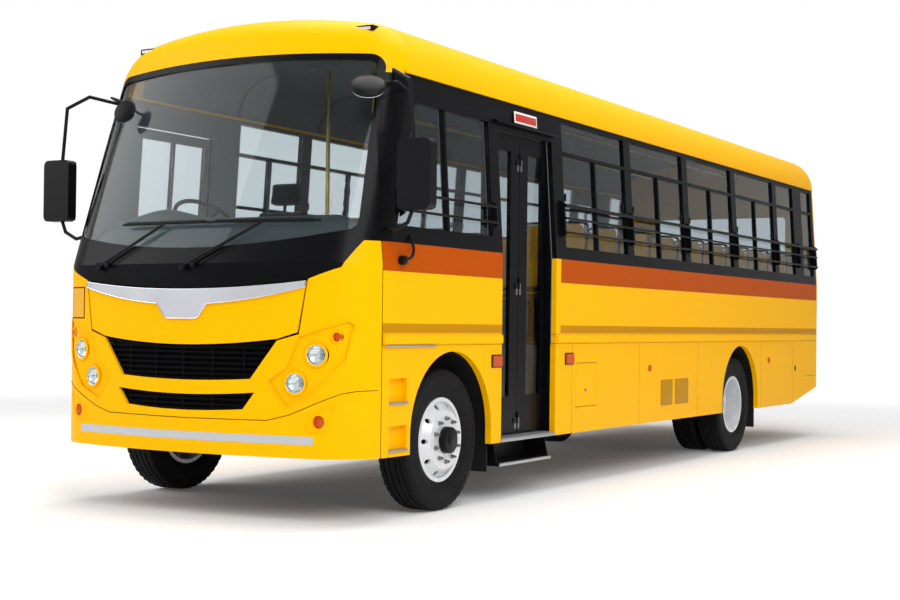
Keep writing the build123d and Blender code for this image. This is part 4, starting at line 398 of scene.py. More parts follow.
# Tyre rubber: carbon black, dull, with a chalky bloom.
TYRE_RUBBER = Finish("tyre_rubber", "#0d0d0f", 0.72, 0.0, 7.0, 0.0009, 0.1, 0.0, 0.2)
# Extruded EPDM of seals, frames and flaps.
SOFT_RUBBER = Finish("soft_rubber", "#101012", 0.6, 0.0, 3.0, 0.0004, 0.1)
# Textured ABS: a leather-like grain that scatters its highlight.
BLACK_ABS = Finish("black_abs", "#0c0d0f", 0.42, 0.0, 2.5, 0.0005, 0.06, 0.0, 0.15)
GREY_ABS = Finish("grey_abs", "#54585c", 0.5, 0.0, 2.5, 0.0005, 0.06)
SLATE_ABS = Finish("slate_abs", "#2f383e", 0.5, 0.0, 2.5, 0.0005, 0.06)
GRILLE_BLACK = Finish("grille_black", "#050608", 0.7, 0.0, 2.5, 0.0005, 0.06, 0.0, 0.06)
# Blow-moulded polypropylene of the seat backs: smooth and slightly waxy.
SEAT_PLASTIC = Finish("seat_plastic", "#f0ac08", 0.35, 0.0, 5.0, 0.0003, 0.05, 0.2)
# Extruded aluminium: pale, with a fine brushed haze.
ALUMINIUM = Finish("aluminium", "#b9bcbf", 0.35, 1.0, 1.5, 0.0003, 0.08)
# Chrome plate, satin on the strip and bright on the small parts.
CHROME_STRIP = Finish("satin_chrome", "#d9dbe2", 0.3, 0.6, 12.0, 0.0002, 0.05)
CHROME = Finish("chrome_plate", "#dfe2e6", 0.08, 1.0, 20.0, 0.0001, 0.03)
# Zinc-plated steel of nuts, hinges and frames.
ZINC_STEEL = Finish("zinc_steel", "#8d9094", 0.38, 1.0, 3.0, 0.0004, 0.1)
# Glass-bead reflective sheeting.
REFLECTIVE_TAPE = Finish("reflective_tape", SILVER, 0.3, 0.4, 2.0, 0.0004, 0.04)
# Sheet vinyl of the floor.
FLOOR_VINYL = Finish("floor_vinyl", "#5a5d60", 0.6, 0.0, 3.0, 0.0006, 0.08)
# Safety glass, tinted in the cabin and clear in the windscreen and lamps.
CABIN_GLASS = Glass("cabin_glass", "#c8d0d4", 0.03, 0.0, 50.0, 0.00005, 0.01)
CLEAR_GLASS = Glass("clear_glass", "#eef4f4", 0.03, 0.0, 50.0, 0.00005, 0.01)
# Moulded acrylic lamp lenses.
AMBER_LENS = Finish("amber_lens", "#c94c00", 0.25, 0.0, 6.0, 0.0008, 0.04)
RED_LENS = Lens("red_lens", "#b51212", 0.2, 0.0, 6.0, 0.0008, 0.04)
CLEAR_LENS = Lens("clear_lens", "#e8ecef", 0.12, 0.0, 10.0, 0.0008, 0.03)
# Vacuum-metallised plastic of the reflectors.
REFLECTOR = Finish("reflector", "#e4e6e8", 0.12, 1.0, 12.0, 0.0012, 0.03)
# Painted sheet of the sign.
SIGN_WHITE = Finish("sign_white", "#f1efec", 0.4, 0.0, 6.0, 0.0001, 0.03)
SIGN_RED = Finish("sign_red", "#c33a2c", 0.4, 0.0, 6.0, 0.0001, 0.03)
# Silvered glass.
MIRROR_GLASS = Finish("mirror_glass", "#c8ccd0", 0.03, 1.0, 60.0, 0.00003, 0.01)

NODE_FINISHES: tuple[tuple[Finish, str], ...] = (
    (KERB_ENAMEL, "lower_side_left"),
    (SIDE_ENAMEL, "lower_side_right"),
    (DOOR_ENAMEL, "driver_door emergency_door"),
    (BODY_ENAMEL, "fuel_flap roof front_panel front_bumper front_flap rear_wall side_mouldings"),
    (REAR_BUMPER_ENAMEL, "rear_bumper"),
    (WINDOW_ENAMEL, "window_frame_left window_frame_right"),
    (BLACK_ENAMEL, "windscreen_surround window_guards entrance_leaf_front entrance_leaf_rear entrance_frame"),
    (CABIN_GLASS, "window_glass driver_door_glass emergency_door_glass entrance_glass_front entrance_glass_rear"),
    (CLEAR_GLASS, "windscreen_glass"),
    (GRILLE_BLACK, "grilles"),
    (CLEAR_LENS, "headlamps"),
    (AMBER_LENS, "amber_lamps"),
    (RED_LENS, "tail_lamps"),
    (CHROME_STRIP, "chrome_strip"),
    (ZINC_STEEL, "fixed_hinges seat_frames"),
    (STEP_PLATE, "entrance_steps"),
    (BLACK_ABS, "mirrors wipers steering_wheel"),
    (CHASSIS_PAINT, "chassis_frame leaf_springs underfloor_tanks"),
    (CAST_IRON, "front_axle rear_axle driveline knuckle_left knuckle_right"),
    (SOFT_RUBBER, "wheel_housings"),
    (FLOOR_VINYL, "floor_deck"),
    (SLATE_ABS, "dashboard engine_cover"),
    (SEAT_CLOTH, "driver_seat seat_cushions"),
    (SEAT_PLASTIC, "seat_shells"),
    (PILLAR_BRASS, "grab_rails"),
    (WHEEL_ENAMEL, "front_wheel_left front_wheel_right twin_wheels_left twin_wheels_right"),
    (TYRE_RUBBER, "front_tyre_left front_tyre_right twin_tyres_left twin_tyres_right"),
)


class Paintbox:
    """Makes each finish once and hands it out."""

    def __init__(self) -> None:
        """Starts with no material made."""
        self.made: dict[str, bpy.types.Material] = {}

    def put(self, thing: Thing, finish: Finish) -> None:
        """Gives an object one finish, whose material is made the first time it is asked for."""
        if finish.name not in self.made:
            self.made[finish.name] = finish.build()
        thing.data.materials.clear()
        thing.data.materials.append(self.made[finish.name])


PAINTS = Paintbox()


# ---- modelling helpers ------------------------------------------------------------------------------
def select_only(thing: Thing | None) -> None:
    """Deselects everything, then selects one object and makes it active."""
    if bpy.context.object and bpy.context.object.mode != "OBJECT":
        bpy.ops.object.mode_set(mode="OBJECT")
    bpy.ops.object.select_all(action="DESELECT")
    if thing is not None:
        thing.select_set(True)
        bpy.context.view_layer.objects.active = thing


@contextmanager
def editing(thing: Thing) -> Iterator[None]:
    """Opens an object in edit mode with everything selected, and closes it again."""
    select_only(thing)
    bpy.ops.object.mode_set(mode="EDIT")
    bpy.ops.mesh.select_all(action="SELECT")
    yield
    bpy.ops.object.mode_set(mode="OBJECT")


def add_shape(operator: Callable[..., set[str]], **settings: object) -> Thing:
    """Adds one of Blender's primitives with nothing else selected, and returns it."""
    select_only(None)
    operator(**settings)
    return bpy.context.object


def new_object(name: str, data: bpy.types.ID) -> Thing:
    """Makes an object of some data and links it to the scene."""
    thing = bpy.data.objects.new(name, data)
    bpy.context.collection.objects.link(thing)
    return thing


def settle(thing: Thing) -> None:
    """Moves an object's place, turn and scale into its mesh."""
    select_only(thing)
    bpy.ops.object.transform_apply(location=True, rotation=True, scale=True)


def join(things: list[Thing]) -> Thing:
    """Joins objects into the first one."""
    for thing in things:
        settle(thing)
    select_only(things[0])
    for thing in things[1:]:
        thing.select_set(True)
    if len(things) > 1:
        bpy.ops.object.join()
    return bpy.context.view_layer.objects.active


def twin(thing: Thing) -> Thing:
    """Copies an object with a mesh of its own."""
    copy = thing.copy()
    copy.data = thing.data.copy()
    bpy.context.collection.objects.link(copy)
    return copy


def scatter(made: Thing, places: list[Point]) -> Thing:
    """Sets a copy of an object at each place, drops the first one and joins the copies."""
    copies = []
    for place in places:
        copies.append(twin(made))
        copies[-1].location = place
    bpy.data.objects.remove(made)
    return join(copies)


def finish_piece(
    things: list[Thing], name: str, finish: Finish, body: str = "coach", smooth: float = 35.0,
) -> Thing:
    """Joins, names, dresses and mounts a finished piece.

    Args:
        things: The objects it is made of.
        name: Its name.
        finish: What it is made of.
        body: The body it rides on.
        smooth: The angle below which faces shade smoothly, in degrees.

    Returns:
        The piece.
    """
    piece = join(things)
    piece.name = name
    piece.data.name = name
    PAINTS.put(piece, finish)
    select_only(piece)
    bpy.ops.object.shade_smooth_by_angle(angle=math.radians(smooth))
    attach(piece, body)
    LOG.info("%s: %d faces", name, len(piece.data.polygons))
    return piece


def paired_piece(
    things: list[Thing], name: str, finish: Finish, smooth: float = 35.0,
) -> Thing:
    """Finishes a piece of the coach that also stands on the bus's other side, its faces still outward."""
    thing = join(things)
    other = twin(thing)
    other.data.transform(Matrix.Scale(-1.0, 4, Vector((1, 0, 0))))
    other.data.flip_normals()
    return finish_piece([thing, other], name, finish, smooth=smooth)


def block(size: Point, place: Point, bevel: float = 0.004, turn: Point = UPRIGHT) -> Thing:
    """Adds a box and rounds its edges in edit mode."""
    thing = add_shape(bpy.ops.mesh.primitive_cube_add, size=1.0, location=place, rotation=turn)
    thing.scale = size
    bpy.ops.object.transform_apply(location=False, rotation=False, scale=True)
    with editing(thing):
        bpy.ops.mesh.bevel(offset=bevel, segments=2, affect="EDGES")
    return thing


def drum(
    radius: float, depth: float, place: Point, turn: Point = UPRIGHT, sides: int = 32, bevel: float = 0.0,
) -> Thing:
    """Adds a cylinder and rounds its rims in edit mode."""
    thing = add_shape(
        bpy.ops.mesh.primitive_cylinder_add, vertices=sides, radius=radius, depth=depth, location=place, rotation=turn,
    )
    if bevel:
        with editing(thing):
            bpy.ops.mesh.bevel(offset=bevel, segments=2, affect="EDGES")
    return thing


def thicken(sheet: Thing, thickness: float, offset: float = 0.0) -> Thing:
    """Gives a sheet its thickness, with an offset of zero about its middle and of minus one inward."""
    wall = sheet.modifiers.new("wall", "SOLIDIFY")
    wall.thickness = thickness
    wall.offset = offset
    select_only(sheet)
    bpy.ops.object.modifier_apply(modifier=wall.name)
    return sheet


def front_y(x: float, z: float) -> float:
    """Finds the bowed front's surface at a point seen from ahead."""
    sag = FRONT_BOW_R - math.sqrt(FRONT_BOW_R ** 2 - x ** 2)
    corner_x = HALF_WIDTH - FRONT_CORNER_R
    if abs(x) > corner_x * FRONT_BOW_R / (FRONT_BOW_R - FRONT_CORNER_R):
        corner_y = FRONT_BOW_R - math.sqrt((FRONT_BOW_R - FRONT_CORNER_R) ** 2 - corner_x ** 2)
        sag = corner_y - math.sqrt(FRONT_CORNER_R ** 2 - (abs(x) - corner_x) ** 2)
    return FRONT_Y + sag + max(0.0, z - RAKE_Z) * math.tan(FRONT_RAKE)


def bent_sheet(x: Pair, z: Pair, out: float, thickness: float, steps: int = 24) -> Thing:
    """Bends a flat sheet over the bowed front and gives it thickness.

    Args:
        x: Its two ends across the bus.
        z: Its lower and upper edge.
        out: How far its middle stands ahead of the skin.
        thickness: Its thickness.
        steps: How many facets follow the bow.

    Returns:
        The sheet as a closed solid.
    """
    sheet = add_shape(bpy.ops.mesh.primitive_grid_add, x_subdivisions=steps, y_subdivisions=1, size=1.0)
    for vertex in sheet.data.vertices:
        across = x[0] + (vertex.co.x + 0.5) * (x[1] - x[0])
        up = z[0] + (vertex.co.y + 0.5) * (z[1] - z[0])
        vertex.co = Vector((across, front_y(across, up) - out, up))
    return thicken(sheet, thickness)


def tube(points: list[Point], radius: float, bend: float = 0.03) -> Thing:
    """Sweeps a round tube along a path with rounded corners.

    Args:
        points: The path's corners.
        radius: The tube's radius.
        bend: The radius at its corners.

    Returns:
        The tube as a mesh with closed ends.
    """
    curve = bpy.data.curves.new("tube", "CURVE")
    curve.dimensions = "3D"
    curve.bevel_depth = radius
    curve.bevel_resolution = 3
    curve.use_fill_caps = True
    path = [Vector(points[0])]
    for before, corner, after in zip(points, points[1:], points[2:]):
        corner = Vector(corner)
        arm_in = (Vector(before) - corner).normalized() * min(bend, (Vector(before) - corner).length / 2)
        arm_out = (Vector(after) - corner).normalized() * min(bend, (Vector(after) - corner).length / 2)
        for i in range(5):
            t = i / 4
            path.append(corner + arm_in * (1 - t) ** 2 + arm_out * t ** 2)
    path.append(Vector(points[-1]))
    spline = curve.splines.new("POLY")
    spline.points.add(len(path) - 1)
    for knot, place in zip(spline.points, path):
        knot.co = (*place, 1.0)
    select_only(new_object("tube", curve))
    bpy.ops.object.convert(target="MESH")
    return bpy.context.object


def seat_places(behind: float, up: float) -> list[Point]:
    """Lists the middle of every passenger's seat, at a distance behind its row's line and a height."""
    return [
        (side.value * (SEAT_IN_X + SEAT_W * (i + 0.5)), y + behind, up)
        for side, rows in ((Side.LEFT, LEFT_ROWS), (Side.RIGHT, RIGHT_ROWS)) for y in rows for i in range(2)
    ]


# ---- sub-assemblies ---------------------------------------------------------------------------------
@dataclass
class Tyre:
    """A moulded tyre: plain sidewalls with raised bands, and a grooved road tread.

    Attributes:
        body: The body it turns with.
        node: The solid it stands for.
        side: The side it is on.
        axle_y: Its axle.
        middles: The distance of each tyre's middle from the bus's middle.
        shoulder: The slots are cut beyond this distance from the tyre's middle and this radius.
    """

    body: str
    node: str
    side: Side
    axle_y: float
    middles: tuple[float, ...]
    steps: int = 150
    groove_depth: float = 0.012
    slot_depth: float = 0.007
    shoulder: Pair = (0.067, 0.455)

    def profile(self) -> list[Pair]:
        """Lists the section as distance along the axle and radius, from bead to bead."""
        half = TYRE_W / 2
        floor = TYRE_R - self.groove_depth
        right = [
            (0.089, 0.263), (0.091, 0.284), (0.099, 0.290), (0.104, 0.300), (half * 0.94, 0.320),
            (half * 0.952, 0.322), (half * 0.965, 0.335), (half * 0.955, 0.337), (half * 0.995, 0.365),
            (half, 0.385), (half * 0.99, 0.410), (half * 0.998, 0.412), (half * 0.985, 0.430),
            (half * 0.955, 0.440), (half * 0.93, 0.458), (half * 0.86, TYRE_R - 0.004),
        ]
        for x in (0.062, 0.022):
            right += [(x + 0.006, TYRE_R), (x + 0.003, floor), (x - 0.003, floor), (x - 0.006, TYRE_R)]
        return right + [(-x, r) for x, r in reversed(right)]

    def one(self) -> Thing:
        """Spins one tyre about the axle's line and cuts slots in its shoulders."""
        mesh = bpy.data.meshes.new("tyre")
        points = self.profile()
        edges = [(i, (i + 1) % len(points)) for i in range(len(points))]
        mesh.from_pydata([(x, 0.0, r) for x, r in points], edges, [])
        thing = new_object("tyre", mesh)
        with editing(thing):
            bpy.ops.mesh.spin(steps=self.steps, angle=2 * math.pi, center=(0, 0, 0), axis=(1, 0, 0))
            bpy.ops.mesh.select_all(action="SELECT")
            bpy.ops.mesh.remove_doubles(threshold=0.0002)
            bpy.ops.mesh.normals_make_consistent(inside=False)
        for vertex in thing.data.vertices:
            radius = math.hypot(vertex.co.y, vertex.co.z)
            step = round(math.atan2(vertex.co.y, vertex.co.z) / (2 * math.pi) * self.steps) % 3
            if radius > self.shoulder[1] and abs(vertex.co.x) > self.shoulder[0] and step == 0:
                shrink = (radius - self.slot_depth) / radius
                vertex.co.y *= shrink
                vertex.co.z *= shrink
        return thing

    def build(self) -> None:
        """Builds the tyre, or the pair of twins, in its place."""
        places = [(self.side.value * middle, self.axle_y, AXLE_Z) for middle in self.middles]
        piece = finish_piece([scatter(self.one(), places)], f"{self.node}_tread", TYRE_RUBBER, self.body, 30.0)
        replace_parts(piece, self.node)


@dataclass
class Wheel:
    """The studs, hub cap and shield of one wheel.

    Attributes:
        body: The wheel's body.
        side: The side it is on.
        axle_y: Its axle.
        name: What its pieces are called.
        face_x: The disc's outer face, from the bus's middle.
        cap: The cap's radius and its inner and outer end, from the bus's middle.
        shield_x: The splash shield, from the bus's middle.
        stud_circle_r: The radius of the circle of nuts.
    """

    body: str
    side: Side
    axle_y: float
    name: str
    face_x: float
    cap: Point
    shield_x: float
    stud_circle_r: float = 0.1425
    stud_count: int = 10
    nut_r: float = 0.0125

    def spot(self, x: float, y: float = 0.0, z: float = 0.0) -> Point:
        """Finds a point on the wheel's side of the bus, from the bus's middle and the axle's line."""
        return self.side.value * x, self.axle_y + y, AXLE_Z + z

    def nuts(self) -> None:
        """Builds the ring of wheel nuts, each on a washer with its stud's end showing."""
        things = []
        for i in range(self.stud_count):
            angle = 2 * math.pi * (i + 0.5) / self.stud_count
            y, z = self.stud_circle_r * math.cos(angle), self.stud_circle_r * math.sin(angle)
            for radius, depth, out, sides, bevel in (
                (self.nut_r * 1.25, 0.006, 0.002, 20, 0.0),
                (self.nut_r, 0.026, 0.014, 6, 0.003),
                (0.006, 0.036, 0.018, 12, 0.0015),
            ):
                things.append(drum(radius, depth, self.spot(self.face_x + out, y, z), ACROSS, sides, bevel))
        finish_piece(things, f"{self.name}_nuts", ZINC_STEEL, self.body)

    def hub_cap(self) -> None:
        """Builds the black cap over the bearing, with a raised rim and a small middle boss."""
        radius, inner, outer = self.cap
        body = drum(radius, outer - inner, self.spot((inner + outer) / 2), ACROSS, 48, 0.006)
        boss = drum(radius * 0.4, 0.006, self.spot(outer + 0.002), ACROSS, 32, 0.002)
        finish_piece([body, boss], f"{self.name}_cap", BLACK_ABS, self.body)

    def shield(self) -> None:
        """Builds the dark splash shield behind the disc's vents."""
        ring = add_shape(
            bpy.ops.mesh.primitive_torus_add,
            major_radius=0.205, minor_radius=0.043, major_segments=48, minor_segments=8,
        )
        ring.scale = (1.0, 1.0, 0.06)
        bpy.ops.object.transform_apply(location=False, rotation=False, scale=True)
        ring.rotation_euler = ACROSS
        ring.location = self.spot(self.shield_x)
        finish_piece([ring], f"{self.name}_shield", CHASSIS_PAINT, self.body)

    def build(self) -> None:
        """Builds the wheel's trim."""
        self.nuts()
        self.shield()
        self.hub_cap()


@dataclass
class FrontLamps:
    """What shows of the front's lamps: bezels, reflectors and bulbs.

    Attributes:
        small: The middle and radius of each indicator and fog lamp.
        pod: The lamp pod's outline, seen from ahead.
        fog_pocket: The outline of the dent round the fog lamp.
        seam: The joint above the bumper, from the middle to a side.
        grilles: The black sheets behind the grilles, which stand in as painted shade, across and up.
    """

    places: tuple[Pair, ...] = ((0.957, 1.039), (0.823, 0.864))
    radius: float = 0.072
    small: tuple[Point, ...] = ((1.072, 1.150, 0.030), (0.975, 0.634, 0.042))
    pod: tuple[Pair, ...] = (
        (0.846, 1.150), (1.127, 1.247), (1.156, 1.225), (1.120, 1.010), (0.945, 0.792), (0.764, 0.718),
        (0.642, 0.876), (0.760, 0.960),
    )
    fog_pocket: tuple[Pair, ...] = ((0.90, 0.575), (1.02, 0.580), (1.075, 0.745), (0.90, 0.665))
    seam: tuple[Pair, ...] = (
        (0.0, 0.629), (0.64, 0.634), (0.79, 0.672), (1.10, 0.806), (1.17, 0.822), (1.235, 0.826),
    )
    grilles: tuple[tuple[Pair, Pair], ...] = (((-0.66, 0.66), (0.87, 1.11)), ((-0.54, 0.54), (0.67, 0.80)))

    def turn(self, x: float, z: float) -> float:
        """Finds how far the skin turns aside at a point, in radians."""
        return math.atan((front_y(x + 0.02, z) - front_y(x - 0.02, z)) / 0.04)

    def ring(self, x: float, z: float, radius: float, width: float) -> Thing:
        """Adds a ring that faces ahead, flush with the skin at its middle."""
        return add_shape(
            bpy.ops.mesh.primitive_torus_add,
            major_radius=radius, minor_radius=width, major_segments=48, minor_segments=10,
            location=(x, front_y(x, z) + 0.002, z), rotation=(math.pi / 2, 0, self.turn(x, z)),
        )

    def stand(self, thing: Thing, x: float, z: float, depth: float) -> Thing:
        """Turns a piece built along Z to face out of the skin at a point, sunk by a depth."""
        turn = Matrix.Rotation(self.turn(x, z), 4, "Z") @ Matrix.Rotation(math.pi / 2, 4, "X")
        thing.data.transform(Matrix.Translation((x, front_y(x, z) + depth, z)) @ turn)
        return thing

    def dome(self, radius: float, height: float) -> Thing:
        """Builds half a flattened sphere as a thin shell, its top along Z."""
        shell = add_shape(bpy.ops.mesh.primitive_uv_sphere_add, segments=48, ring_count=24, radius=radius)
        with editing(shell):
            bpy.ops.mesh.bisect(plane_co=(0, 0, -0.0001), plane_no=(0, 0, 1), clear_inner=True)
        shell.data.transform(Matrix.Scale(height / radius, 4, Vector((0, 0, 1))))
        return thicken(shell, 0.002, -1.0)

    def headlamps(self) -> None:
        """Builds each headlamp: a can, a bright dish, a bulb in its hood, and a clear domed lens."""
        cans, dishes, hoods, lenses = [], [], [], []
        for x, z in self.places:
            cans.append(self.stand(drum(self.radius - 0.0005, 0.02, (0, 0, 0), UPRIGHT, 48), x, z, 0.066))
            dish = self.dome(self.radius - 0.004, 0.05)
            dish.data.transform(Matrix.Rotation(math.pi, 4, "X"))
            dishes.append(self.stand(dish, x, z, 0.004))
            hoods.append(self.stand(drum(0.017, 0.02, (0, 0, 0), UPRIGHT, 32, 0.004), x, z, 0.028))
            lenses.append(self.stand(self.dome(self.radius - 0.003, 0.013), x, z, 0.004))
        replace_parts(paired_piece(cans, "headlamp_cans", BLACK_ABS), "headlamps")
        paired_piece(dishes, "headlamp_dishes", REFLECTOR, SOFT_EDGE)
        paired_piece(hoods, "headlamp_hoods", CHROME)
        paired_piece(lenses, "headlamp_lenses", CLEAR_GLASS, SOFT_EDGE)

    def skin_tube(self, corners: list[Pair], radius: float, step: float = 0.02) -> Thing:
        """Lays a thin round bead on the skin along a line seen from ahead."""
        path = []
        for (x0, z0), (x1, z1) in zip(corners, corners[1:]):
            count = max(1, round(math.hypot(x1 - x0, z1 - z0) / step))
            path += [(x0 + (x1 - x0) * i / count, z0 + (z1 - z0) * i / count) for i in range(count)]
        return tube([(x, front_y(x, z), z) for x, z in path + [corners[-1]]], radius, 0.004)

    def beads(self) -> None:
        """Builds the moulded beads round the lamp pods and fog lamps, a thin dark line of painted shade along each
        pod's groove, and the bumper's seam.
        """
        rims = [self.skin_tube([*outline, outline[0]], 0.006) for outline in (self.pod, self.fog_pocket)]
        paired_piece(rims, "lamp_pod_beads", BODY_ENAMEL, SOFT_EDGE)
        # A thin dark tube just inside each pod's bead: painted shade in the pod's groove, not a real seam.
        inner = [(x * 0.992 + 0.0075, z * 0.99 + 0.0095) for x, z in self.pod]
        paired_piece([self.skin_tube([*inner, inner[0]], 0.0025)], "lamp_pod_seams", SEAM_AND_GROOVE_SHADE, SOFT_EDGE)
        seam = [(-x, z) for x, z in reversed(self.seam[1:])] + list(self.seam)
        finish_piece([self.skin_tube(seam, 0.0025)], "bumper_seam", SEAM_AND_GROOVE_SHADE, smooth=SOFT_EDGE)

    def build(self) -> None:
        """Builds the lamps, the beads and the black sheets behind the grilles, which stand in as painted shade."""
        self.headlamps()
        rings = [self.ring(x, z, self.radius - 0.0125, 0.003) for x, z in self.places]
        paired_piece(rings, "headlamp_bezels", CHROME, SOFT_EDGE)
        collars = [self.ring(x, z, radius + 0.001, 0.004) for x, z, radius in self.small]
        collars += [self.ring(x, z, self.radius - 0.004, 0.0085) for x, z in self.places]
        paired_piece(collars, "lamp_collars", BODY_ENAMEL, SOFT_EDGE)
        self.beads()
        # Plain black sheets behind the grilles: painted shade for the dark space behind them.
        sheets = [bent_sheet(x, z, -0.045, 0.002) for x, z in self.grilles]
        finish_piece(sheets, "grille_backs", GRILLE_BLACK)


@dataclass
class FrontPlates:
    """The flat sheets that lie on the bowed front."""

    tape_x: Pair = (-0.945, 0.945)
    tape_z: Pair = (0.493, 0.544)
    plate_x: Pair = (-1.105, -0.925)
    plate_z: Pair = (1.244, 1.455)
    rim: float = 0.008

    def build(self) -> None:
        """Bends the strip, the plate's rim and its face over the skin."""
        finish_piece([bent_sheet(self.tape_x, self.tape_z, 0.0004, 0.0016, 40)], "bumper_tape", REFLECTIVE_TAPE)
        finish_piece([bent_sheet(self.plate_x, self.plate_z, 0.0006, 0.0016)], "cheek_plate_rim", BLACK_ENAMEL)
        face_x, face_z = [(low + self.rim, high - self.rim) for low, high in (self.plate_x, self.plate_z)]
        finish_piece([bent_sheet(face_x, face_z, 0.0016, 0.0016)], "cheek_plate_face", SEAT_PLASTIC)


@dataclass
class RoofTrim:
    """The marker lamps over the windscreen and the drip rails along the eaves."""

    marker: Point = (0.896, -4.283, 3.122)
    rail_y: Pair = (-4.27, 4.68)
    rail_z: float = 2.835

    def build(self) -> None:
        """Builds the lamps, their lenses and the rails."""
        x, y, z = self.marker
        cases = [block((0.16, 0.10, 0.045), (side.value * x, y, z), 0.01) for side in Side]
        finish_piece(cases, "roof_marker_cases", BLACK_ABS)
        lenses = [block((0.12, 0.01, 0.02), (side.value * x, y - 0.05, z), 0.003) for side in Side]
        finish_piece(lenses, "roof_marker_lenses", CLEAR_LENS)
        length = self.rail_y[1] - self.rail_y[0]
        middle = sum(self.rail_y) / 2
        rail = block((0.02, length, 0.016), (EAVES_HALF + 0.005, middle, self.rail_z), 0.004)
        paired_piece([rail], "drip_rails", BODY_ENAMEL)
        seal = block((0.012, length, 0.008), (EAVES_HALF + 0.004, middle, self.rail_z - 0.014), 0.002)
        paired_piece([seal], "drip_rail_seals", SOFT_RUBBER)


@dataclass
class Headlining:
    """The cabin's pressed ceiling panels, joined by cover strips.

    Attributes:
        inset: How far it lies inside the roof's outer skin.
        lengths: How many lengths of board it has.
    """

    front_y: float = -4.12
    rear_y: float = 4.70
    inset: float = 0.052
    thickness: float = 0.004
    lengths: int = 8
    strip_half: float = 0.02

    def section(self, inset: float) -> list[Pair]:
        """Lists the ceiling's section from the driver's side to the kerb side."""
        cove_r = COVE_R - inset
        crown_r = CROWN_R - inset
        crown_z = ROOF_Z - CROWN_R
        cove_x = EAVES_HALF - COVE_R
        cove_z = crown_z + math.sqrt((crown_r - cove_r) ** 2 - cove_x ** 2)
        angle = math.atan2(cove_z - crown_z, cove_x)
        cove = [angle * i / 8 for i in range(9)]
        crown = [angle + (math.pi / 2 - angle) * i / 6 for i in range(1, 7)]
        half = [(cove_x + cove_r * math.cos(a), cove_z + cove_r * math.sin(a)) for a in cove]
        half += [(crown_r * math.cos(a), crown_z + crown_r * math.sin(a)) for a in crown]
        return [(-x, z) for x, z in half] + [(x, z) for x, z in reversed(half[:-1])]

    def panel(self, y0: float, y1: float, inset: float) -> Thing:
        """Builds one length of ceiling as a closed sheet."""
        points = self.section(inset)
        last = len(points) - 1
        sheet = add_shape(bpy.ops.mesh.primitive_grid_add, x_subdivisions=last, y_subdivisions=1, size=2.0)
        for vertex in sheet.data.vertices:
            x, z = points[round((vertex.co.x + 1.0) / 2.0 * last)]
            vertex.co = Vector((x, y0 if vertex.co.y < 0 else y1, z))
        return thicken(sheet, self.thickness)

    def build(self) -> None:
        """Builds the ceiling and its cover strips."""
        finish_piece([self.panel(self.front_y, self.rear_y, self.inset)], "headlining", HEADLINING)
        pitch = (self.rear_y - self.front_y) / self.lengths
        seams = [self.front_y + i * pitch for i in range(1, self.lengths)]
        covers = [self.panel(y - self.strip_half, y + self.strip_half, self.inset + self.thickness) for y in seams]
        finish_piece(covers, "headlining_strips", GREY_ABS)


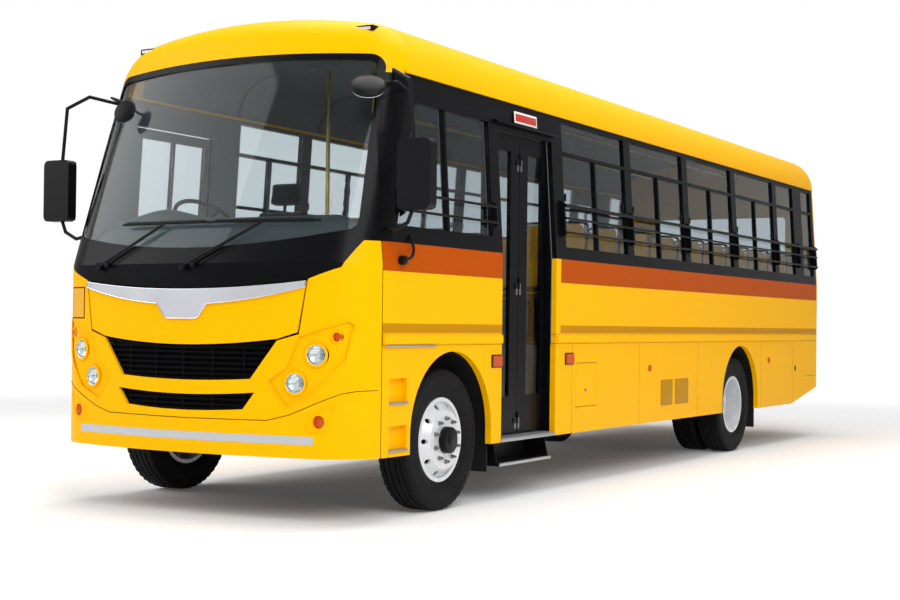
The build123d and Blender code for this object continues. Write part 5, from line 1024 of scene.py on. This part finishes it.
@dataclass
class SideTrim:
    """The vents, steps, lamp frames and small fittings of the sides.

    Attributes:
        lamp_ys: The front end of each square lamp.
        sign: The middle of the plain sign over the entrance, along and up.
    """

    vent_ys: tuple[Pair, ...] = (
        (FRONT_AXLE_Y + 3.69, FRONT_AXLE_Y + 3.96),
        (FRONT_AXLE_Y + 4.03, FRONT_AXLE_Y + 4.35),
    )
    vent_z: Pair = (0.547, 0.77)
    slat_pitch: float = 0.016
    lamp_ys: Pair = (FRONT_AXLE_Y + 0.56, FRONT_AXLE_Y + 1.74)
    pocket_y: Pair = (FRONT_AXLE_Y - 0.77, FRONT_AXLE_Y - 0.56)
    pocket_sills: Pair = (0.745, 0.452)
    locker_y: float = FRONT_AXLE_Y + 7.64
    sign: Pair = (FRONT_AXLE_Y + 1.13, 2.733)

    def vents(self) -> None:
        """Builds two grilles of fine upright slats on each side."""
        height = self.vent_z[1] - self.vent_z[0]
        middle_z = sum(self.vent_z) / 2
        backs, slats = [], []
        for y0, y1 in self.vent_ys:
            backs.append(block((0.003, y1 - y0, height), (HALF_WIDTH + 0.0015, (y0 + y1) / 2, middle_z), 0.001))
            count = int((y1 - y0) / self.slat_pitch)
            pitch = (y1 - y0) / count
            for i in range(count):
                place = (HALF_WIDTH + 0.004, y0 + (i + 0.5) * pitch, middle_z)
                slats.append(block((0.006, pitch * 0.45, height - 0.008), place, 0.0015))
        paired_piece(backs, "vent_backs", MESH_BROWN)
        paired_piece(slats, "vent_slats", VENT_ENAMEL)

    def foot_treads(self) -> None:
        """Builds the ribbed aluminium lip of each foot pocket."""
        length = self.pocket_y[1] - self.pocket_y[0]
        middle = sum(self.pocket_y) / 2
        things = []
        for sill in self.pocket_sills:
            things.append(block((0.06, length + 0.01, 0.016), (HALF_WIDTH - 0.018, middle, sill - 0.006), 0.004))
            for i in range(3):
                place = (HALF_WIDTH + 0.0125, middle, sill - 0.011 + i * 0.005)
                things.append(block((0.003, length, 0.0025), place, 0.0008))
        paired_piece(things, "foot_pocket_treads", ALUMINIUM)

    def entrance(self) -> None:
        """Builds the sill bar, the low step's nose, the rain ledge and the plain sign above the door."""
        length = DOOR_Y[1] - DOOR_Y[0]
        middle = sum(DOOR_Y) / 2
        sill = [block((0.02, length - 0.01, 0.03), (HALF_WIDTH - 0.004, middle, 0.425), 0.004)]
        for i in range(3):
            sill.append(block((0.003, length - 0.02, 0.003), (HALF_WIDTH + 0.007, middle, 0.416 + i * 0.009), 0.001))
        sill.append(block((0.012, length - 0.05, 0.024), (1.219, middle + 0.015, 0.248), 0.004))
        finish_piece(sill, "entrance_sill", ALUMINIUM)
        splash = block((0.006, length - 0.05, 0.19), (1.0, middle + 0.015, 0.335), 0.002)
        finish_piece([splash], "entrance_splash_plate", CHASSIS_PAINT)
        ledge = block((0.05, length + 0.12, 0.014), (1.205, middle, 2.672), 0.004, (0.0, 0.25, 0.0))
        finish_piece([ledge], "door_rain_ledge", BLACK_ENAMEL)
        for part, finish, x, y_size, z_size in (
            ("rim", SIGN_WHITE, 1.199, 0.36, 0.085),
            ("face", SIGN_RED, 1.2006, 0.33, 0.055),
        ):
            sheet = block((0.004, y_size, z_size), (x, *self.sign), 0.0015, SIGN_LEAN)
            finish_piece([sheet], f"entrance_sign_{part}", finish)

    def leaf_plates(self) -> None:
        """Builds the plates and screws of the fold's hinges, on each leaf."""
        for way, body in ((-1, "entrance_front"), (1, "entrance_rear")):
            y = sum(DOOR_Y) / 2 + way * 0.026
            things = []
            for z in (0.52, 1.5, 2.4):
                things.append(block((0.003, 0.026, 0.085), (LEAF_FACE_X + 0.0012, y, z), 0.001))
                for lift in (-0.028, 0.0, 0.028):
                    things.append(drum(0.005, 0.003, (LEAF_FACE_X + 0.0035, y, z + lift), ACROSS, 12))
            finish_piece(things, f"{body}_hinge_plates", ZINC_STEEL, body)

    def locks(self) -> None:
        """Builds the lockers' locks and the fuel flap's."""
        lock = [drum(0.016, 0.01, (HALF_WIDTH + 0.004, self.locker_y, 0.796), ACROSS, 24, 0.002),
                block((0.006, 0.022, 0.06), (HALF_WIDTH + 0.003, self.locker_y, 0.796), 0.002)]
        paired_piece(lock, "locker_locks", BLACK_ABS)
        flap_lock = drum(0.013, 0.008, (HALF_WIDTH + 0.002, FRONT_AXLE_Y + 2.11, 0.735), ACROSS, 24, 0.002)
        finish_piece([flap_lock], "fuel_flap_lock", ZINC_STEEL, "fuel_flap")

    def build(self) -> None:
        """Builds all the side's trim, with the square lamps' frames and the moulding's bare end."""
        self.vents()
        frames = [block((0.014, 0.146, 0.091), (HALF_WIDTH + 0.002, y + 0.065, 0.9825), 0.005) for y in self.lamp_ys]
        paired_piece(frames, "side_lamp_frames", SOFT_RUBBER)
        self.foot_treads()
        self.entrance()
        self.leaf_plates()
        strip = block((0.006, 0.62, 0.014), (HALF_WIDTH + 0.014, -4.28, 1.096), 0.003)
        paired_piece([strip], "moulding_cap", ALUMINIUM)
        self.locks()


@dataclass
class MirrorTrim:
    """The mirrors' glasses, the round mirrors over the windscreen and the low mirror arm's hook."""

    def round_mirror(self, name: str, place: Point, lean: Point, radius: float, path: list[Point]) -> None:
        """Builds a round wide-angle mirror on its own bent stalk.

        Args:
            name: What its pieces are called.
            place: Its middle.
            lean: The way its back faces.
            radius: Its radius.
            path: The stalk's corners, from the body to the mirror.
        """
        turn = Vector(lean).to_track_quat("Z", "Y").to_euler()
        back = add_shape(
            bpy.ops.mesh.primitive_uv_sphere_add,
            segments=40, ring_count=20, radius=radius, location=place, rotation=turn,
        )
        back.scale = (1.0, 1.0, 0.28)
        finish_piece([back, tube(path, 0.008)], f"{name}_back", BLACK_ABS)
        shift = Vector(lean).normalized() * -0.3 * radius
        glass = drum(radius * 0.9, 0.006, tuple(Vector(place) + shift * 0.62), tuple(turn), 40, 0.002)
        finish_piece([glass], f"{name}_glass", MIRROR_GLASS)

    def build(self) -> None:
        """Sets a rimmed glass in each big mirror's rear face, then builds the rest."""
        x, y, z = MIRROR_CENTRE
        paired_piece([block((0.222, 0.008, 0.41), (x, y + 0.041, z), 0.003)], "mirror_rims", SOFT_RUBBER)
        paired_piece([block((0.20, 0.004, 0.385), (x, y + 0.0455, z), 0.0015)], "mirror_glasses", MIRROR_GLASS)
        self.round_mirror(
            "kerb_round_mirror", (1.118, -4.60, 2.70), (0.35, -0.55, 0.75), 0.115,
            [(1.20, -4.28, 2.72), (1.24, -4.45, 2.74), (1.16, -4.58, 2.72)],
        )
        self.round_mirror(
            "driver_round_mirror", (-0.838, -4.63, 2.66), (0.1, -0.9, 0.3), 0.085,
            [(-1.12, -4.34, 2.76), (-1.0, -4.60, 2.77), (-0.90, -4.62, 2.74), (-0.85, -4.61, 2.70)],
        )
        hook = tube([(1.255, -4.30, 1.79), (1.285, -4.30, 1.70), (1.285, -4.33, 1.645), (1.285, -4.40, 1.64)], 0.009)
        pad = drum(0.03, 0.03, (1.27, -4.41, 1.63), ACROSS, 24, 0.008)
        pad.scale = (1.0, 1.0, 1.6)
        finish_piece([hook, pad], "mirror_arm_hook", BLACK_ABS)


@dataclass
class SeatPads:
    """Foam seat pads on every pan, and the driver's stuffed seat.

    Attributes:
        pad: A passenger pad's width, depth and thickness.
        swell: How far the foam may push its cover out.
    """

    pad: Point = (0.334, 0.348, 0.038)
    swell: float = 0.008
    pressure: float = 4.0
    voxel: float = 0.009
    frames: int = 20

    def stuffed(self, size: Point, swell: float) -> Thing:
        """Blows up a covered block of foam: a cloth shell under a little pressure.

        Args:
            size: The block's width, depth and thickness before it swells.
            swell: How far a point may move.

        Returns:
            The swollen pad, at the origin.
        """
        pad = block(size, (0.0, 0.0, 0.0), min(size) * 0.3)
        pad.data.remesh_voxel_size = self.voxel
        select_only(pad)
        bpy.ops.object.voxel_remesh()
        rest = [vertex.co.copy() for vertex in pad.data.vertices]
        cloth = pad.modifiers.new("cloth", "CLOTH")
        cloth.settings.use_pressure = True
        cloth.settings.uniform_pressure_force = self.pressure
        cloth.settings.effector_weights.gravity = 0.0
        cloth.point_cache.frame_end = self.frames
        for frame in range(1, self.frames + 1):
            bpy.context.scene.frame_set(frame)
        select_only(pad)
        bpy.ops.object.modifier_apply(modifier=cloth.name)
        bpy.context.scene.frame_set(1)
        for vertex, start in zip(pad.data.vertices, rest):
            move = vertex.co - start
            if move.length > swell:
                vertex.co = start + move.normalized() * swell
        return pad

    def passengers(self) -> None:
        """Copies one pad onto all the seat pans."""
        _, depth, thickness = self.pad
        pads = scatter(self.stuffed(self.pad, self.swell), seat_places(0.01 + depth / 2, PAN_Z + thickness / 2))
        piece = finish_piece([pads], "seat_pads", SEAT_CLOTH, smooth=SOFT_EDGE)
        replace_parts(piece, "seat_cushions")

    def driver(self) -> None:
        """Builds the driver's seat: squab, back and headrest on a covered pedestal."""
        x, y = DRIVER_SEAT
        z = FLOOR_Z + 0.42
        pads = []
        for size, swell, lean, behind, up in (
            ((0.47, 0.46, 0.085), 0.014, 0.0, 0.24, -0.045),
            ((0.45, 0.095, 0.60), 0.014, -0.21, 0.512, 0.262),
            ((0.245, 0.085, 0.165), 0.01, -0.17, 0.595, 0.685),
        ):
            pad = self.stuffed(size, swell)
            pad.rotation_euler = (lean, 0.0, 0.0)
            pad.location = (x, y + behind, z + up)
            pads.append(pad)
        piece = finish_piece(pads, "driver_seat_pads", DRIVER_CLOTH, smooth=SOFT_EDGE)
        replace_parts(piece, "driver_seat")
        base = [
            block((0.30, 0.30, 0.34), (x, y + 0.24, FLOOR_Z + 0.17), 0.02),
            drum(0.012, 0.08, (x, y + 0.58, z + 0.59), (-0.17, 0.0, 0.0), 16),
        ]
        base += [drum(0.035, 0.02, (x + side.value * 0.24, y + 0.44, z - 0.03), ACROSS, 24, 0.004) for side in Side]
        finish_piece(base, "driver_seat_base", BLACK_ABS)

    def build(self) -> None:
        """Builds all the soft seats."""
        self.passengers()
        self.driver()


@dataclass
class StripRim:
    """The polished rim of the bright strip on the service flap.

    Attributes:
        end: The strip's upper corner, seen from ahead.
        drop: The height of its ends.
        low_z: The height at the middle of the arc that its lower edge follows.
        shield: The shield's outline, from the arc down to the bottom.
        proud: How far the strip stands ahead of the skin.
    """

    end: Pair = (0.888, 1.488)
    top_z: float = 1.436
    drop: float = 0.036
    low_z: float = 1.341
    shield: tuple[Pair, ...] = ((0.202, 1.3467), (0.136, 1.262), (0.110, 1.253))
    proud: float = 0.012
    steps: int = 40

    @staticmethod
    def arc(x: float, half: float, rise: float, middle_z: float) -> float:
        """Finds the height of an arc at a place across the bus."""
        radius = (half ** 2 + rise ** 2) / (2 * rise)
        return middle_z + radius - math.sqrt(radius ** 2 - x ** 2)

    def build(self) -> None:
        """Lays the rim along the strip's whole edge."""
        half, high = self.end
        places = [half * (i / self.steps) for i in range(self.steps + 1)]
        upper = [(x, self.arc(x, half, high - self.top_z, self.top_z)) for x in places]
        rise = high - self.drop - self.low_z
        lower = [(x, self.arc(x, half, rise, self.low_z)) for x in reversed(places) if x > self.shield[0][0]]
        right = upper + lower + list(self.shield)
        outline = right + [(-x, z) for x, z in reversed(right)]
        path = [(x, front_y(x, z) - self.proud, z) for x, z in outline]
        finish_piece([tube(path, 0.003, 0.004)], "strip_rim", CHROME, "front_flap", SOFT_EDGE)


@dataclass
class RearTrim:
    """The back's lamp frames and lenses, window rubber and rub rails.

    Attributes:
        window: Half the rear window's width, its sill and its head.
    """

    lamp_x: float = 0.94
    window: Point = (0.82, 1.88, 2.56)
    rail_zs: Pair = (1.44, 1.72)

    def build(self) -> None:
        """Builds all the back's trim."""
        for name, finish, size, out, z, bevel in (
            ("tail_lamp_frames", SOFT_RUBBER, (0.142, 0.012, 0.462), -0.001, 1.115, 0.004),
            ("tail_indicators", AMBER_LENS, (0.108, 0.005, 0.078), 0.0085, 1.285, 0.002),
            ("reversing_lamps", CLEAR_LENS, (0.108, 0.005, 0.07), 0.0085, 0.945, 0.002),
        ):
            paired_piece([block(size, (self.lamp_x, REAR_Y + out, z), bevel)], name, finish)
        bars = [block((0.116, 0.006, 0.004), (self.lamp_x, REAR_Y + 0.0085, z), 0.0012) for z in (0.99, 1.09)]
        paired_piece(bars, "tail_lamp_bars", CHROME)
        half, sill, head = self.window
        path = [(0.0, sill), (half, sill), (half, head), (-half, head), (-half, sill), (0.0, sill)]
        rubber = tube([(x, REAR_Y + 0.001, z) for x, z in path], 0.012, 0.05)
        finish_piece([rubber], "rear_window_rubber", SOFT_RUBBER, smooth=SOFT_EDGE)
        rails = [block((2.02, 0.012, 0.03), (0, REAR_Y + 0.001, z), 0.005) for z in self.rail_zs]
        finish_piece(rails, "rear_rub_rails", BODY_ENAMEL)


@dataclass
class DoorTrim:
    """The handle, its cup and the key barrel of a hinged door on the driver's side."""

    body: str
    y: float
    z: float = 1.36

    def build(self) -> None:
        """Builds the handle on its door."""
        handle = [
            block((0.006, 0.17, 0.07), (-HALF_WIDTH - 0.002, self.y, self.z), 0.002),
            block((0.018, 0.15, 0.026), (-HALF_WIDTH - 0.022, self.y, self.z), 0.008),
        ]
        for way in (1, -1):
            handle.append(block((0.024, 0.018, 0.02), (-HALF_WIDTH - 0.01, self.y + way * 0.06, self.z), 0.004))
        finish_piece(handle, f"{self.body}_handle", BLACK_ABS, self.body)
        barrel = drum(0.011, 0.01, (-HALF_WIDTH - 0.004, self.y + 0.04, self.z - 0.07), ACROSS, 24, 0.002)
        finish_piece([barrel], f"{self.body}_key_barrel", ZINC_STEEL, self.body)


@dataclass
class CabinTrim:
    """The pad on the dash, instrument dials, gear lever, seat hoops and window pulls.

    Attributes:
        stations: How many outlines the pad is drawn through.
        lean: How far a seat back leans for each metre of its height.
        bay: The pitch of the window bays.
    """

    pad_half: float = 1.08
    stations: int = 49
    pad_foot_z: float = 1.60
    back_top: float = PAN_Z + 0.56
    lean: float = 0.2
    bay: float = 1.333
    pull_z: float = 2.22

    def pad_section(self, x: float) -> list[Point]:
        """Draws the dash pad's outline at one place across the bus.

        Args:
            x: The place.

        Returns:
            The outline's corners, from the foot of the glass over the crest to the dash's rear edge.
        """
        hood = 0.07 * math.exp(-((x + 0.52) / 0.26) ** 2)
        crest = 1.915 + hood - 0.12 * max(0.0, (abs(x) - 0.86) / 0.22) ** 2
        foot = front_y(x, 1.66) + 0.075
        rise = [(foot, self.pad_foot_z), (foot + 0.005, 1.665)]
        for t in (0.25, 0.5, 0.75):
            rise.append((foot + (-4.56 - foot) * t, 1.665 + (crest - 1.665) * math.sin(t * math.pi / 2)))
        rise += [(-4.56, crest), (-4.51, crest - 0.004), (-4.475, crest - 0.03), (-4.462, crest - 0.08),
                 (-4.452, self.pad_foot_z)]
        return [(x, y, z) for y, z in rise]

    def dash_pad(self) -> None:
        """Builds the pad under the windscreen by skinning its outlines."""
        verts: list[Point] = []
        for i in range(self.stations):
            verts += self.pad_section(2 * self.pad_half * i / (self.stations - 1) - self.pad_half)
        ring = len(verts) // self.stations
        faces = [tuple(reversed(range(ring))), tuple(range(len(verts) - ring, len(verts)))]
        for start in range(0, len(verts) - ring, ring):
            for j in range(ring):
                k = (j + 1) % ring
                faces.append((start + j, start + k, start + ring + k, start + ring + j))
        mesh = bpy.data.meshes.new("dash_pad")
        mesh.from_pydata(verts, [], faces)
        pad = new_object("dash_pad", mesh)
        with editing(pad):
            bpy.ops.mesh.normals_make_consistent(inside=False)
        finish_piece([pad], "dash_pad", SLATE_ABS, smooth=50.0)

    def controls(self) -> None:
        """Builds the dials and the gear lever."""
        dials = [drum(r, 0.008, (x, -4.452, 1.84), ALONG, 32, 0.002)
                 for x, r in ((-0.76, 0.05), (-0.54, 0.05), (-0.65, 0.03))]
        finish_piece(dials, "instrument_dials", BLACK_ABS)
        lever = tube([(-0.20, -3.66, 1.46), (-0.21, -3.68, 1.60), (-0.25, -3.62, 1.78)], 0.009)
        gaiter = drum(0.05, 0.03, (-0.20, -3.66, 1.48), UPRIGHT, 32, 0.012)
        knob = drum(0.022, 0.05, (-0.252, -3.615, 1.79), (0.1, 0, 0), 24, 0.01)
        finish_piece([lever, gaiter, knob], "gear_lever", BLACK_ABS)

    def hoops(self) -> None:
        """Bends one grab hoop and sets a copy on top of each seat back."""
        low, high = [0.422 + self.lean * height for height in (0.26, 0.575)]
        left = [(0.12, low, -0.30), (0.155, low + 0.012, -0.24), (0.155, high, 0.015)]
        path = [(-x, y, self.back_top + z) for x, y, z in left]
        path += [(x, y, self.back_top + z) for x, y, z in reversed(left)]
        hoops = scatter(tube(path, 0.011, 0.06), seat_places(0.0, 0.0))
        finish_piece([hoops], "seat_back_hoops", GREY_ABS, smooth=SOFT_EDGE)

    def window_pulls(self) -> None:
        """Builds a pull on each sliding pane, beside the pillars."""
        x = HALF_WIDTH - TUMBLEHOME * (self.pull_z - WAIST_Z) - 0.012
        pulls = [block((0.014, 0.018, 0.06), (x, FIRST_BAY_Y + i * self.bay + inset, self.pull_z), 0.004)
                 for i in range(4) for inset in (0.045, 1.155)]
        paired_piece(pulls, "window_pulls", BLACK_ABS)

    def build(self) -> None:
        """Builds all the cabin's trim."""
        self.dash_pad()
        self.controls()
        self.hoops()
        self.window_pulls()


@dataclass
class WiperTrim:
    """The second arm and the nuts of each wiper.

    Attributes:
        pivots: Each wiper's pivot, seen from ahead.
        reach: From the pivot to the first arm's end, across the bus.
        off: How far the arms stand ahead of the glass.
    """

    pivots: tuple[Pair, ...] = ((-0.743, 1.585), (0.019, 1.578))
    reach: float = 0.52
    arm_gap: float = 0.085
    blade_z: float = 1.845
    off: float = 0.028

    def build(self) -> None:
        """Builds the parallel arms, the blades' spines and the pivots' caps."""
        things = []
        for x, z in self.pivots:
            path = []
            for i in range(9):
                across = x + self.arm_gap + (self.reach - self.arm_gap) * i / 8
                up = z + 0.02 + (self.blade_z - z - 0.02) * i / 8
                path.append((across, front_y(across, up) - self.off, up))
            things.append(tube(path, 0.005, 0.01))
            up = self.blade_z + 0.02
            spine = [x + reach for reach in (0.19, 0.36, 0.53, 0.70, 0.87)]
            things.append(tube([(across, front_y(across, up) - self.off - 0.004, up) for across in spine], 0.012, 0.01))
            for across in (x, x + self.arm_gap):
                place = (across, front_y(across, z + 0.01) - 0.02, z + 0.01)
                things.append(drum(0.016, 0.038, place, ALONG, 24, 0.004))
        finish_piece(things, "wiper_second_arms", BLACK_ABS, smooth=SOFT_EDGE)


@dataclass
class Studio:
    """The plain floor, the soft lamps and the camera.

    Attributes:
        fade: Where the floor starts to melt into the backdrop and where it is gone.
        surround: The brightness of the light all round, where the camera doesn't see it.
    """

    focal_mm: float = 59.04
    camera_at: Point = (6.102, -12.214, 1.235)
    yaw: float = math.radians(30.365)
    pitch: float = math.radians(0.584)
    roll: float = math.radians(0.708)
    shift: Pair = (0.01284, 0.01016)
    floor_glow: float = 0.05
    fade: Pair = (7.5, 13.0)
    surround: float = 0.42

    def camera(self) -> None:
        """Sets up the camera."""
        data = bpy.data.cameras.new("camera")
        data.lens = self.focal_mm
        data.sensor_width = 36.0
        data.shift_x, data.shift_y = self.shift
        data.clip_end = 200.0
        thing = new_object("camera", data)
        ahead = Vector((
            -math.sin(self.yaw) * math.cos(self.pitch),
            math.cos(self.yaw) * math.cos(self.pitch),
            math.sin(self.pitch),
        ))
        level = ahead.cross(Vector((0, 0, 1))).normalized()
        above = level.cross(ahead)
        right = level * math.cos(self.roll) + above * math.sin(self.roll)
        up = above * math.cos(self.roll) - level * math.sin(self.roll)
        turn = Matrix((right, up, -ahead)).transposed().to_4x4()
        thing.matrix_world = Matrix.Translation(self.camera_at) @ turn
        bpy.context.scene.camera = thing

    def floor(self) -> None:
        """Lays a pale floor that keeps the shadow near the bus and melts into the backdrop further off."""
        plane = add_shape(bpy.ops.mesh.primitive_plane_add, size=400.0, location=(0, 0, 0))
        plane.name = "floor"
        material = bpy.data.materials.new("paper_floor")
        material.use_nodes = True
        tree = material.node_tree
        paper = tree.nodes["Principled BSDF"]
        feed(paper, {
            "Base Color": linear("#f4f4f4"),
            "Roughness": 0.95,
            "Specular IOR Level": 0.0,
            "Emission Color": WHITE,
            "Emission Strength": self.floor_glow,
        })
        place = add_node(tree, "TexCoord").outputs["Object"]
        reach = add_node(tree, "VectorMath", {0: place}, operation="LENGTH").outputs["Value"]
        far = add_node(tree, "MapRange", {"Value": reach, "From Min": self.fade[0], "From Max": self.fade[1]})
        path = add_node(tree, "LightPath").outputs
        seen = reckon(tree, "MULTIPLY", far.outputs["Result"], path["Is Camera Ray"])
        white = add_node(tree, "Emission", {"Color": WHITE, "Strength": 1.0})
        mix = add_node(tree, "MixShader", {0: seen, 1: paper.outputs[0], 2: white.outputs[0]})
        feed(tree.nodes["Material Output"], {0: mix.outputs[0]})
        plane.data.materials.append(material)

    def lamp(self, name: str, place: Point, aim: Point, size: float, power: float) -> None:
        """Hangs one square soft lamp, aimed at a point."""
        data = bpy.data.lights.new(name, "AREA")
        data.shape = "SQUARE"
        data.size = size
        data.energy = power
        thing = new_object(name, data)
        thing.location = place
        thing.rotation_euler = (Vector(aim) - Vector(place)).to_track_quat("-Z", "Y").to_euler()

    def world(self) -> None:
        """Surrounds the bus with plain light, and shows white to the camera and through glass."""
        world = bpy.data.worlds.new("studio")
        world.use_nodes = True
        tree = world.node_tree
        tree.nodes.clear()
        path = add_node(tree, "LightPath").outputs
        seen = reckon(tree, "MAXIMUM", path["Is Camera Ray"], path["Is Transmission Ray"])
        strength = add_node(tree, "MapRange", {"Value": seen, "To Min": self.surround, "To Max": 1.0})
        back = add_node(tree, "Background", {"Color": WHITE, "Strength": strength.outputs["Result"]})
        add_node(tree, "OutputWorld", {0: back.outputs[0]})
        bpy.context.scene.world = world

    def build(self) -> None:
        """Sets up the camera, the light and the floor."""
        self.camera()
        self.world()
        self.floor()
        self.lamp("key", (10.0, -10.5, 9.0), (0, 0.3, 1.2), 8.0, 1100.0)
        self.lamp("fill", (-9.0, -10.0, 7.0), (0, -2.0, 1.2), 8.0, 560.0)
        self.lamp("top", (0.0, 0.0, 11.0), (0, 0, 0), 10.0, 1150.0)


def dress_frame() -> None:
    """Gives each carried-over node its finish."""
    for finish, names in NODE_FINISHES:
        for name in names.split():
            PAINTS.put(bpy.data.objects[name], finish)


def main() -> None:
    """Builds the bus's looks, sub-assembly by sub-assembly."""
    logging.basicConfig(level=logging.INFO)
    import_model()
    bpy.context.scene.view_settings.view_transform = "Standard"
    Studio().build()
    dress_frame()
    for side in Side:
        word = side.name.lower()
        front, twins = f"front_wheel_{word}", f"twin_{word}"
        Tyre(front, f"front_tyre_{word}", side, FRONT_AXLE_Y, (WHEEL_X,)).build()
        Tyre(twins, f"twin_tyres_{word}", side, REAR_AXLE_Y, (WHEEL_X, WHEEL_X - TWIN_PITCH)).build()
        Wheel(
            front, side, FRONT_AXLE_Y, f"front_hub_{word}", face_x=1.21, cap=(0.088, 1.205, 1.255), shield_x=1.155,
        ).build()
        Wheel(
            twins, side, REAR_AXLE_Y, f"twin_hub_{word}", face_x=0.952, cap=(0.075, 1.03, 1.062), shield_x=0.935,
        ).build()
    for trim in (
        FrontLamps(), FrontPlates(), RoofTrim(), Headlining(), SideTrim(), MirrorTrim(), StripRim(), RearTrim(),
        DoorTrim("driver_door", FRONT_AXLE_Y + 0.34), DoorTrim("emergency_door", 3.80),
        CabinTrim(), WiperTrim(), SeatPads(),
    ):
        trim.build()


if __name__ == "__main__":
    main()
